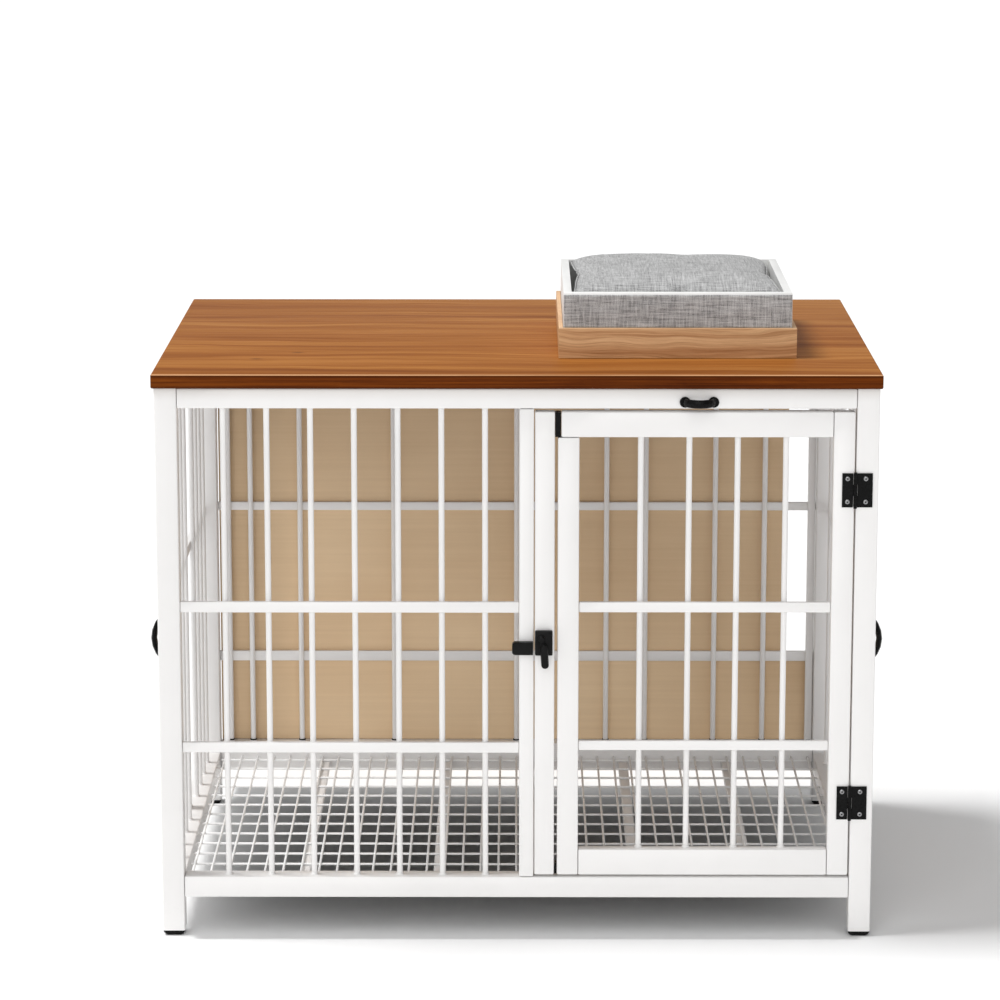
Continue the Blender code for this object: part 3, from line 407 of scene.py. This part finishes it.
def linen(name, dark, light):
    """Heather linen: light and dark slub yarns both ways, over a fine plain weave."""
    material, tree, shader = start_material(name, 0.92, sheen_weight=0.18, sheen_roughness=0.5)
    weft = noise(tree, place(tree, (38.0, 560.0, 560.0)), 1.0, 4.0, 0.62)
    warp = noise(tree, place(tree, (560.0, 38.0, 38.0)), 1.0, 4.0, 0.62)
    both = calc(tree, "ADD", calc(tree, "MULTIPLY", weft, 0.5), calc(tree, "MULTIPLY", warp, 0.5))
    fleck = noise(tree, place(tree), 900.0, 2.0)
    mixed = calc(tree, "ADD", calc(tree, "MULTIPLY", both, 0.78), calc(tree, "MULTIPLY", fleck, 0.22))
    middle = tuple((low + high) / 2 for low, high in zip(dark, light))
    colour = ramp(tree, mixed, (0.38, dark), (0.50, middle), (0.63, light))
    cloud = ramp(tree, noise(tree, place(tree), 9.0, 3.0), (0.3, 0.90), (0.7, 1.0))
    feed(tree, shader.inputs["Base Color"], mix(tree, 1.0, colour, cloud, "MULTIPLY"))
    x, y, z = axes(tree)
    pitch = 2 * math.pi / 0.0011
    over = calc(tree, "SINE", calc(tree, "MULTIPLY", x, pitch))
    under = calc(tree, "SINE", calc(tree, "MULTIPLY", calc(tree, "ADD", y, z), pitch))
    weave = calc(tree, "MULTIPLY", over, under)
    add_bump(tree, shader, (both, 0.55, 0.0006), (weave, 0.30, 0.00015))
    return material


def floor_finish():
    """The pale studio floor."""
    material, tree, shader = start_material("floor_finish", 0.9)
    tone = noise(tree, place(tree), 0.8, 2.0)
    feed(tree, shader.inputs["Base Color"],
         ramp(tree, tone, (0.3, (0.93, 0.93, 0.93)), (0.7, (0.95, 0.95, 0.95))))
    return material


LOOK = {
    "white_steel": powder_coat("powder_coat", (0.862, 0.850, 0.840), (0.828, 0.816, 0.805)),
    "wire": powder_coat("wire_coat", (0.93, 0.93, 0.925), (0.88, 0.88, 0.87), (0.26, 0.38)),
    "walnut": top_wood(),
    "tan_board": panel_board(),
    "black_steel": black_metal("black_steel_paint", (0.0025, 0.0025, 0.0025), (0.22, 0.34), 0.10),
    "black_plastic": black_metal("black_moulding", (0.005, 0.005, 0.005), (0.34, 0.48), 0.22),
    "bolt_steel": bare_steel(),
    "ash": tray_wood(),
    "white_board": painted_board(),
    "grey_fabric": linen("grey_linen", (0.155, 0.155, 0.155), (0.62, 0.62, 0.62)),
}


# ---- mesh helpers --------------------------------------------------------------------------------
def new_piece(name, shape, body, slot, *materials, angle=35.0):
    """Turn a bmesh into a piece that rides on a body and takes its finish from a slot."""
    bmesh.ops.recalc_face_normals(shape, faces=shape.faces)
    mesh = bpy.data.meshes.new(name)
    shape.to_mesh(mesh)
    shape.free()
    mesh.shade_smooth()
    mesh.set_sharp_from_angle(angle=math.radians(angle))
    for material in materials or (LOOK[slot],):
        mesh.materials.append(material)
    piece = bpy.data.objects.new(name, mesh)
    bpy.context.scene.collection.objects.link(piece)
    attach(piece, body)
    return piece


def add_wire(shape, start, end, radius, sides=10):
    """A round wire between two points, with softly rounded ends."""
    run = Vector(end) - Vector(start)
    axis = run.normalized()
    turn = run.to_track_quat("Z", "Y").to_matrix()
    soft = radius * 0.45
    rings = ((0.0, radius - soft), (soft, radius), (run.length - soft, radius),
             (run.length, radius - soft))
    add_lathe(shape, start, turn, rings, sides)
    return axis


def add_lathe(shape, base, turn, rings, sides):
    """A closed turned shape: rings are (distance along the axis, radius)."""
    loops = []
    for along, radius in rings:
        loop = []
        for k in range(sides):
            angle = 2 * math.pi * k / sides
            offset = Vector((radius * math.cos(angle), radius * math.sin(angle), along))
            loop.append(shape.verts.new(Vector(base) + turn @ offset))
        loops.append(loop)
    for low, high in zip(loops, loops[1:]):
        for k in range(sides):
            after = (k + 1) % sides
            shape.faces.new((low[k], low[after], high[after], high[k]))
    shape.faces.new(reversed(loops[0]))
    shape.faces.new(loops[-1])


def add_soft_box(shape, low, high, round_by, segments=2):
    """A box with rounded edges."""
    size = Vector(high) - Vector(low)
    middle = (Vector(low) + Vector(high)) / 2
    matrix = Matrix.Translation(middle) @ Matrix.Diagonal((*size, 1.0))
    made = bmesh.ops.create_cube(shape, size=1.0, matrix=matrix)
    edges = list({edge for vert in made["verts"] for edge in vert.link_edges})
    bmesh.ops.bevel(shape, geom=edges, offset=round_by, segments=segments, profile=0.5,
                    affect="EDGES", clamp_overlap=True)


def facing(direction):
    """The turn that takes +Z to a direction."""
    return Vector(direction).to_track_quat("Z", "Y").to_matrix()


# ---- CAD nodes: smooth shading and materials -----------------------------------------------------
def smooth_group():
    """Geometry nodes that join a faceted solid's faces and smooth them below an angle."""
    group = bpy.data.node_groups.new("smooth_by_angle", "GeometryNodeTree")
    group.interface.new_socket("Geometry", in_out="INPUT", socket_type="NodeSocketGeometry")
    group.interface.new_socket("Geometry", in_out="OUTPUT", socket_type="NodeSocketGeometry")
    entry = group.nodes.new("NodeGroupInput")
    leave = group.nodes.new("NodeGroupOutput")
    forget = group.nodes.new("GeometryNodeRemoveAttribute")
    forget.inputs["Name"].default_value = "custom_normal"
    merge = group.nodes.new("GeometryNodeMergeByDistance")
    merge.inputs["Distance"].default_value = 0.00001
    faces = group.nodes.new("GeometryNodeSetShadeSmooth")
    faces.domain = "FACE"
    edges = group.nodes.new("GeometryNodeSetShadeSmooth")
    edges.domain = "EDGE"
    angle = group.nodes.new("GeometryNodeInputMeshEdgeAngle")
    gentle = group.nodes.new("FunctionNodeCompare")
    gentle.operation = "LESS_THAN"
    gentle.inputs["B"].default_value = math.radians(35.0)
    link = group.links.new
    link(entry.outputs[0], forget.inputs["Geometry"])
    link(forget.outputs[0], merge.inputs["Geometry"])
    link(merge.outputs[0], faces.inputs["Geometry"])
    link(faces.outputs[0], edges.inputs["Geometry"])
    link(angle.outputs["Unsigned Angle"], gentle.inputs["A"])
    link(gentle.outputs["Result"], edges.inputs["Shade Smooth"])
    link(edges.outputs[0], leave.inputs[0])
    return group


def dress_cad_nodes():
    """Give every CAD node its finish and smooth shading."""
    group = smooth_group()
    for thing in NODES.values():
        for slot in thing.material_slots:
            slot.material = LOOK[slot.material.name.split(".")[0]]
        thing.modifiers.new("smooth_by_angle", "NODES").node_group = group


# ---- floor of welded wire ------------------------------------------------------------------------
def make_floor_wires():
    """Round wires both ways: the lower layer runs left to right, the upper one front to back."""
    low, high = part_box("floor_mesh")
    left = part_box("bottom_rail_left")[1].x + WIRE_EDGE
    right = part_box("bottom_rail_right")[0].x - WIRE_EDGE
    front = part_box("bottom_rail_front")[1].y + WIRE_EDGE
    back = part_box("bottom_rail_back")[0].y - WIRE_EDGE
    lower = low.z + WIRE_R
    upper = lower + 2 * WIRE_R - WELD_SINK
    shape = bmesh.new()
    rows = int((high.y - low.y) / WIRE_PITCH_Y)
    middle = (low.y + high.y) / 2
    for i in range(rows + 1):
        y = middle + (i - rows / 2) * WIRE_PITCH_Y
        add_wire(shape, (left, y, lower), (right, y, lower), WIRE_R)
    columns = int((right - left) / WIRE_PITCH_X)
    for i in range(columns + 1):
        x = (left + right) / 2 + (i - columns / 2) * WIRE_PITCH_X
        add_wire(shape, (x, front, upper), (x, back, upper), WIRE_R)
    wires = new_piece("floor_wires", shape, "crate", "wire", angle=60.0)
    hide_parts("floor_mesh")


# ---- fasteners -----------------------------------------------------------------------------------
def hexagon_reach(angle, across):
    """How far a hexagonal socket reaches at an angle."""
    sixth = math.pi / 3
    return across / math.cos(angle % sixth - sixth / 2)


def add_screw(shape, centre, out, radius, height, spin):
    """A button-head screw with a hexagonal socket. The socket's faces take the second material, which is dark
    and paints shade into the socket.
    """
    turn = facing(out)
    profile = [(0.0, radius, 0), (height * 0.30, radius, 0), (height * 0.66, radius * 0.90, 0),
               (height * 0.92, radius * 0.66, 0), (height, radius * 0.50, 0)]
    deep = height * 0.35
    loops = []
    for along, reach, _ in profile:
        loops.append([(reach, along)] * SCREW_SIDES)
    recess = [hexagon_reach(2 * math.pi * k / SCREW_SIDES, radius * 0.36) for k in range(SCREW_SIDES)]
    loops.append([(reach, height) for reach in recess])
    loops.append([(reach * 0.82, deep) for reach in recess])
    rings = []
    for loop in loops:
        ring = []
        for k, (reach, along) in enumerate(loop):
            angle = 2 * math.pi * k / SCREW_SIDES + spin
            offset = Vector((reach * math.cos(angle), reach * math.sin(angle), along))
            ring.append(shape.verts.new(Vector(centre) + turn @ offset))
        rings.append(ring)
    for index, (low, high) in enumerate(zip(rings, rings[1:])):
        for k in range(SCREW_SIDES):
            after = (k + 1) % SCREW_SIDES
            face = shape.faces.new((low[k], low[after], high[after], high[k]))
            face.material_index = 1 if index == len(rings) - 2 else 0
    shape.faces.new(reversed(rings[0]))
    shape.faces.new(rings[-1]).material_index = 1


def make_screws(name, centres, out, body, radius=SCREW_R, height=SCREW_H, slot="bolt_steel"):
    """One piece for a group of equal screws."""
    shape = bmesh.new()
    for i, centre in enumerate(centres):
        add_screw(shape, centre, out, radius, height, 0.7 * i)
    # the black second material paints shade into the sockets
    return new_piece(name, shape, body, slot, LOOK[slot], LOOK["black_plastic"], angle=28.0)


def make_hinge_screws():
    """Two screws in each hinge leaf."""
    for level in ("lower", "upper"):
        for leaf, body, share in (("post", "crate", 0.64), ("door", "door", 0.36)):
            low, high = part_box(f"hinge_{level}_{leaf}_leaf")
            x = low.x + (high.x - low.x) * share
            inset = (high.z - low.z) * 0.16
            front = high.y - 0.0015
            places = [(x, front, low.z + inset), (x, front, high.z - inset)]
            make_screws(f"hinge_{level}_{leaf}_screws", places, (0, -1, 0), body)


# ---- bars: weld beads and collars ----------------------------------------------------------------
def bar_ends(node, top):
    """Centres of the round bars' ends of a grille, at its highest or lowest level."""
    points = [vert.co.copy() for vert in NODES[node].data.vertices]
    level = (max if top else min)(point.z for point in points)
    groups = []
    for point in points:
        if abs(point.z - level) < 0.1 * MM:
            near = [group for group in groups if (group[0] - point).length < 3 * BAR_R]
            if near:
                near[0].append(point)
            else:
                groups.append([point])
    centres = []
    for group in groups:
        low = Vector([min(point[i] for point in group) for i in range(3)])
        high = Vector([max(point[i] for point in group) for i in range(3)])
        if (high - low).length < 3 * BAR_R and len(group) > 8:
            centres.append((low + high) / 2)
    return centres


def make_weld_beads():
    """A small fillet of weld where each bar meets the rail above and below it."""
    for node, body in (("front_grille", "crate"), ("left_grille", "crate"), ("right_grille", "crate"),
                       ("back_grille", "crate"), ("door_grille", "door")):
        shape = bmesh.new()
        profile = ((-0.2 * MM, BEAD_R), (0.5 * MM, BEAD_R * 0.93), (1.1 * MM, BEAD_R * 0.82),
                   (BEAD_H, BAR_R * 1.01), (BEAD_H * 1.2, BAR_R * 0.9))
        for top, out in ((True, (0, 0, -1)), (False, (0, 0, 1))):
            for centre in bar_ends(node, top):
                add_lathe(shape, centre, facing(out), profile, 20)
        new_piece(node + "_weld_beads", shape, body, "white_steel", angle=60.0)


def make_collars():
    """Thin dark collars round the feet of the back bars."""
    shape = bmesh.new()
    profile = ((BEAD_H * 0.6, BAR_R + 0.2 * MM), (BEAD_H * 0.6, COLLAR_R), (BEAD_H * 0.8, COLLAR_R + 0.2 * MM),
               (BEAD_H * 1.3, COLLAR_R + 0.2 * MM), (BEAD_H * 1.5, COLLAR_R), (BEAD_H * 1.5, BAR_R * 0.95))
    for centre in bar_ends("back_grille", False):
        add_lathe(shape, centre, facing((0, 0, 1)), profile, 20)
    new_piece("back_bar_collars", shape, "crate", "black_plastic")


# ---- tube caps -----------------------------------------------------------------------------------
def add_cap(shape, node, axis, end):
    """A plug in a tube's end: a domed lid on a shorter, narrower body."""
    low, high = (Vector(corner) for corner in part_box(node))
    inner = TUBE_WALL + 0.1 * MM
    for other in range(3):
        if other != axis:
            low[other] += inner
            high[other] -= inner
    flush = 0.3 * MM
    if end > 0:
        high[axis] -= flush
        low[axis] = high[axis] - CAP_DEPTH
    else:
        low[axis] += flush
        high[axis] = low[axis] + CAP_DEPTH
    add_soft_box(shape, low, high, 0.9 * MM, 3)


def make_tube_caps():
    """White plugs in the open tube ends of the door."""
    shape = bmesh.new()
    for node, axis, end in (("door_hinge_stile", 2, 1), ("door_hinge_stile", 2, -1),
                            ("door_free_stile", 2, -1), ("door_top_rail", 0, -1),
                            ("latch_stile", 2, 1), ("latch_stile", 2, -1)):
        add_cap(shape, node, axis, end)
    new_piece("door_tube_caps", shape, "door", "white_steel")


# ---- more fasteners ------------------------------------------------------------------------------
def make_panel_screws():
    """Screws through the back boards into the cross rails."""
    lower_low, lower_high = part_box("back_board_lower")
    upper_low, upper_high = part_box("back_board_upper")
    levels = [lower_low.z + PANEL_INSET, lower_high.z - PANEL_INSET, lower_high.z + PANEL_INSET,
              upper_low.z - PANEL_INSET, upper_low.z + PANEL_INSET, upper_high.z - PANEL_INSET]
    places = []
    for index, z in enumerate(levels):
        right = (lower_high if index < 2 else upper_high).x - PANEL_INSET
        left = lower_low.x + PANEL_INSET
        for i in range(PANEL_SCREWS):
            places.append((left + (right - left) * i / (PANEL_SCREWS - 1), lower_high.y, z))
    make_screws("back_panel_screws", places, (0, 1, 0), "crate", 3.0 * MM, 1.1 * MM)


# ---- bed: fabric front ---------------------------------------------------------------------------
def edge_rise(distance, radius):
    """Height of a rounded edge, from 0 at the edge to 1 a radius inside it."""
    share = min(max(distance / radius, 0.0), 1.0)
    return math.sqrt(1.0 - (1.0 - share) ** 2)


def make_fabric_front():
    """Fabric glued over the box's front: thin inside the tray and padded above its rim."""
    low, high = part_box("bed_box_walls")
    tray_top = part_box("tray_walls")[1].z
    left, right = low.x + 0.3 * MM, high.x - 0.3 * MM
    bottom, top = low.z + 1.0 * MM, high.z - FRONT_RIM
    columns, rows = 150, 46
    xs = [left + (right - left) * i / columns for i in range(columns + 1)]
    xs += [left + k * 0.35 * MM for k in range(1, 5)] + [right - k * 0.35 * MM for k in range(1, 5)]
    zs = [bottom + (top - bottom) * j / rows for j in range(rows + 1)]
    zs += [top - k * 0.35 * MM for k in range(1, 5)] + [tray_top + k * 0.4 * MM for k in range(0, 6)]
    xs, zs = sorted(set(xs)), sorted(set(zs))
    shape = bmesh.new()
    front = []
    rear = []
    for x in xs:
        outer_line, inner_line = [], []
        for z in zs:
            above = edge_rise(z - tray_top - 0.4 * MM, 2.2 * MM)
            inset = min(x - left, right - x)
            soft = edge_rise(inset, 2.4 * MM) * edge_rise(top - z, 2.2 * MM)
            ripple = 0.12 * MM * math.sin(37.0 * x + 5.0 * math.sin(61.0 * z)) * soft * above
            depth = FABRIC_T + (PAD_T * above) * soft + ripple
            outer_line.append(shape.verts.new((x, low.y - 0.05 * MM - depth, z)))
            inner_line.append(shape.verts.new((x, low.y - 0.05 * MM, z)))
        front.append(outer_line)
        rear.append(inner_line)
    for i in range(len(xs) - 1):
        for j in range(len(zs) - 1):
            shape.faces.new((front[i][j], front[i + 1][j], front[i + 1][j + 1], front[i][j + 1]))
            shape.faces.new((rear[i][j], rear[i][j + 1], rear[i + 1][j + 1], rear[i + 1][j]))
    for i in range(len(xs) - 1):
        for j, step in ((0, 1), (len(zs) - 1, -1)):
            shape.faces.new((front[i][j], rear[i][j], rear[i + 1][j], front[i + 1][j])[::step])
    for j in range(len(zs) - 1):
        for i, step in ((0, -1), (len(xs) - 1, 1)):
            shape.faces.new((front[i][j], rear[i][j], rear[i][j + 1], front[i][j + 1])[::step])
    panel = new_piece("bed_box_fabric", shape, "bed_box", "grey_fabric", angle=60.0)


# ---- bed: cushion --------------------------------------------------------------------------------
def flat_pillow(width, depth):
    """Two flat panels sewn together round their edges. Returns a mesh and its seam's vertices."""
    shape = bmesh.new()
    seam = []

    def panel(sign, edge):
        grid = []
        for i in range(CUSHION_COLUMNS + 1):
            u = 2 * i / CUSHION_COLUMNS - 1
            line = []
            for j in range(CUSHION_ROWS + 1):
                v = 2 * j / CUSHION_ROWS - 1
                if edge and (i, j) in edge:
                    line.append(edge[(i, j)])
                    continue
                lift = sign * 5 * MM * (1 - u ** 4) * (1 - v ** 4)
                line.append(shape.verts.new((u * width / 2, v * depth / 2, lift)))
            grid.append(line)
        return grid

    top = panel(1, None)
    edge = {(i, j): top[i][j] for i in range(CUSHION_COLUMNS + 1) for j in range(CUSHION_ROWS + 1)
            if i in (0, CUSHION_COLUMNS) or j in (0, CUSHION_ROWS)}
    bottom = panel(-1, edge)
    shape.verts.index_update()
    loop = ([(i, 0) for i in range(CUSHION_COLUMNS)] + [(CUSHION_COLUMNS, j) for j in range(CUSHION_ROWS)]
            + [(i, CUSHION_ROWS) for i in range(CUSHION_COLUMNS, 0, -1)]
            + [(0, j) for j in range(CUSHION_ROWS, 0, -1)])
    seam = [edge[key].index for key in loop]
    for i in range(CUSHION_COLUMNS):
        for j in range(CUSHION_ROWS):
            shape.faces.new((top[i][j], top[i + 1][j], top[i + 1][j + 1], top[i][j + 1]))
            shape.faces.new((bottom[i][j], bottom[i][j + 1], bottom[i + 1][j + 1], bottom[i + 1][j]))
    mesh = bpy.data.meshes.new("flat_pillow")
    shape.to_mesh(mesh)
    shape.free()
    return mesh, seam


def inflate(mesh):
    """Blow the pillow up with Blender's cloth. Returns the new points."""
    trial = bpy.data.objects.new("pillow_trial", mesh)
    bpy.context.scene.collection.objects.link(trial)
    cloth = trial.modifiers.new("cloth", "CLOTH")
    cloth.settings.quality = 7
    cloth.settings.mass = 0.25
    cloth.settings.tension_stiffness = 22.0
    cloth.settings.compression_stiffness = 22.0
    cloth.settings.shear_stiffness = 6.0
    cloth.settings.bending_stiffness = 0.35
    cloth.settings.use_pressure = True
    cloth.settings.uniform_pressure_force = 7.0
    cloth.settings.effector_weights.gravity = 0.0
    cloth.point_cache.frame_start = 1
    cloth.point_cache.frame_end = CUSHION_FRAMES
    scene = bpy.context.scene
    for number in range(1, CUSHION_FRAMES + 1):
        scene.frame_set(number)
    blown = trial.evaluated_get(bpy.context.evaluated_depsgraph_get()).to_mesh()
    points = np.array([vert.co for vert in blown.vertices], float)
    scene.frame_set(1)
    bpy.data.objects.remove(trial)
    return points


def settle(points, flat, low, high, seam_z):
    """Fit the blown pillow into its box: crown above the seam, a flat seat below it."""
    middle = (points.min(0) + points.max(0)) / 2
    placed = points - middle
    placed[:, 2] = points[:, 2]
    for axis in (0, 1):
        spread = np.abs(placed[:, axis]).max() / np.abs(flat[:, axis]).max()
        placed[:, axis] += (flat[:, axis] * spread - placed[:, axis]) * FIRM_EDGES
        placed[:, axis] *= (high[axis] - low[axis]) / 2 / np.abs(placed[:, axis]).max()
        placed[:, axis] += (low[axis] + high[axis]) / 2
    top = placed[:, 2] > 0
    crown = high[2] - CROWN_BELOW - seam_z
    sag = (seam_z - low[2]) * 1.35
    up = np.clip(placed[:, 2] / placed[:, 2].max(), 0, 1) ** FULLNESS
    down = placed[:, 2] / -placed[:, 2].min()
    dip = np.exp(-((placed[:, 0] - DIP_X) / 0.035) ** 2) * DIP_DEPTH
    up = (1 - RIDGES) * up + RIDGES * four_slopes(placed, low, high)
    dip = dip * up ** 2 + fold_drop(placed, low, high) * up
    height = np.where(top, up * crown - dip, down * sag)
    seat = seam_z - low[2]
    squeezed = -seat * (1 - np.exp(height / seat * 1.6)) / (1 - math.exp(-1.6 * 1.35))
    placed[:, 2] = seam_z + np.where(top, height, np.maximum(squeezed, -seat))
    return placed


def four_slopes(placed, low, high):
    """Shares of the crown's height where four slopes rise from the edges and meet in ridges."""
    corner_low, corner_high = np.array(low[:2]), np.array(high[:2])
    inset = np.minimum(placed[:, :2] - corner_low, corner_high - placed[:, :2]).min(1)
    return 1.0 - (1.0 - np.clip(inset / SLOPE_REACH, 0.0, 1.0)) ** SLOPE_POWER


def fold_drop(placed, low, high):
    """How far the cloth falls away outside the folds that run in from the two front corners."""
    from_side = (high[0] - low[0]) / 2 - np.abs(placed[:, 0] - (low[0] + high[0]) / 2)
    from_front = placed[:, 1] - low[1]
    beyond = from_front - from_side
    fade = np.clip(1.0 - np.minimum(from_side, from_front) / FOLD_LENGTH, 0.0, 1.0)
    step = 1.0 / (1.0 + np.exp(-beyond / FOLD_SHARPNESS))
    return FOLD_STEP * step * fade * np.exp(-np.clip(beyond, 0.0, None) / FOLD_REACH)


def make_cushion():
    """The cushion: blown up as cloth, seated in its box, with a welted seam."""
    low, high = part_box("bed_cushion")
    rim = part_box("bed_box_walls")[1].z
    mesh, seam = flat_pillow(high.x - low.x + 14 * MM, high.y - low.y + 14 * MM)
    flat = np.array([vert.co for vert in mesh.vertices], float)
    points = inflate(mesh)
    inner = (low.x + SEAM_R, low.y + SEAM_R, low.z)
    outer = (high.x - SEAM_R, high.y - SEAM_R, high.z)
    placed = settle(points, flat, inner, outer, rim - SEAM_BELOW_RIM)
    mesh.vertices.foreach_set("co", placed.astype(np.float32).ravel())
    mesh.update()
    mesh.shade_smooth()
    mesh.materials.append(LOOK["grey_fabric"])
    cushion = bpy.data.objects.new("cushion_cover", mesh)
    bpy.context.scene.collection.objects.link(cushion)
    smooth = cushion.modifiers.new("subdivision", "SUBSURF")
    smooth.levels = 1
    smooth.render_levels = 1
    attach(cushion, "cushion")
    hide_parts("bed_cushion")

    line = bpy.data.curves.new("cushion_seam", "CURVE")
    line.dimensions = "3D"
    line.bevel_depth = SEAM_R
    line.bevel_resolution = 3
    path = line.splines.new("POLY")
    path.points.add(len(seam) - 1)
    for point, index in zip(path.points, seam):
        point.co = (*placed[index], 1.0)
    path.use_cyclic_u = True
    line.materials.append(LOOK["grey_fabric"])
    welt = bpy.data.objects.new("cushion_seam", line)
    bpy.context.scene.collection.objects.link(welt)
    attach(welt, "cushion")


# ---- stage ---------------------------------------------------------------------------------------
def make_stage():
    """A wide pale floor."""
    shape = bmesh.new()
    bmesh.ops.create_grid(shape, x_segments=8, y_segments=8, size=FLOOR_REACH)
    mesh = bpy.data.meshes.new("studio_floor")
    shape.to_mesh(mesh)
    shape.free()
    mesh.materials.append(floor_finish())
    ground = bpy.data.objects.new("studio_floor", mesh)
    bpy.context.scene.collection.objects.link(ground)


def make_card():
    """A white reflector under the crate. It lights the cabin and keeps the sun off the ground."""
    left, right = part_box("foot_front_left")[1].x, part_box("foot_front_right")[0].x
    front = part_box("bottom_rail_front")[0].y - CARD_FORWARD
    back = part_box("bottom_rail_back")[1].y + CARD_BEHIND
    shape = bmesh.new()
    corners = ((left, front), (right, front), (right, back), (left, back))
    shape.faces.new([shape.verts.new((x, y, CARD_HEIGHT)) for x, y in corners])
    mesh = bpy.data.meshes.new("reflector_card")
    shape.to_mesh(mesh)
    shape.free()
    mesh.materials.append(floor_finish())
    card = bpy.data.objects.new("reflector_card", mesh)
    card.visible_camera = False
    card.visible_glossy = False
    bpy.context.scene.collection.objects.link(card)


def add_sun(name, towards, strength, softness):
    """A distant soft light. Towards points from the crate to the light."""
    data = bpy.data.lights.new(name, "SUN")
    data.energy = strength
    data.angle = math.radians(softness)
    lamp = bpy.data.objects.new(name, data)
    lamp.rotation_euler = Vector(towards).to_track_quat("Z", "Y").to_euler()
    bpy.context.scene.collection.objects.link(lamp)


def make_lights():
    """A white room, a soft key from high on the left and a low, wide fill from the front."""
    world = bpy.data.worlds.new("white_room")
    world.use_nodes = True
    background = world.node_tree.nodes["Background"]
    background.inputs["Color"].default_value = (1.0, 1.0, 1.0, 1.0)
    seen = add_node(world.node_tree, "ShaderNodeLightPath").outputs["Is Camera Ray"]
    feed(world.node_tree, background.inputs["Strength"],
         span(world.node_tree, seen, 0.0, 1.0, ROOM_LIGHT, 1.0))
    bpy.context.scene.world = world
    add_sun("key", KEY_TOWARDS, KEY_STRENGTH, KEY_SOFTNESS)
    add_sun("fill", FILL_TOWARDS, FILL_STRENGTH, FILL_SOFTNESS)
    bpy.context.scene.view_settings.view_transform = "Standard"


def make_camera():
    """The photograph's view."""
    data = bpy.data.cameras.new("camera")
    data.lens = CAMERA_LENS
    data.sensor_width = 36.0
    data.clip_end = 200.0
    camera = bpy.data.objects.new("camera", data)
    camera.location = CAMERA_PLACE
    camera.rotation_euler = (math.radians(90.0 - CAMERA_DOWN), 0.0, math.radians(CAMERA_LEFT))
    bpy.context.scene.collection.objects.link(camera)
    bpy.context.scene.camera = camera


make_camera()
make_stage()
make_card()
make_lights()
dress_cad_nodes()
make_floor_wires()
make_hinge_screws()
make_weld_beads()
make_collars()
make_tube_caps()
make_panel_screws()
make_fabric_front()
make_cushion()
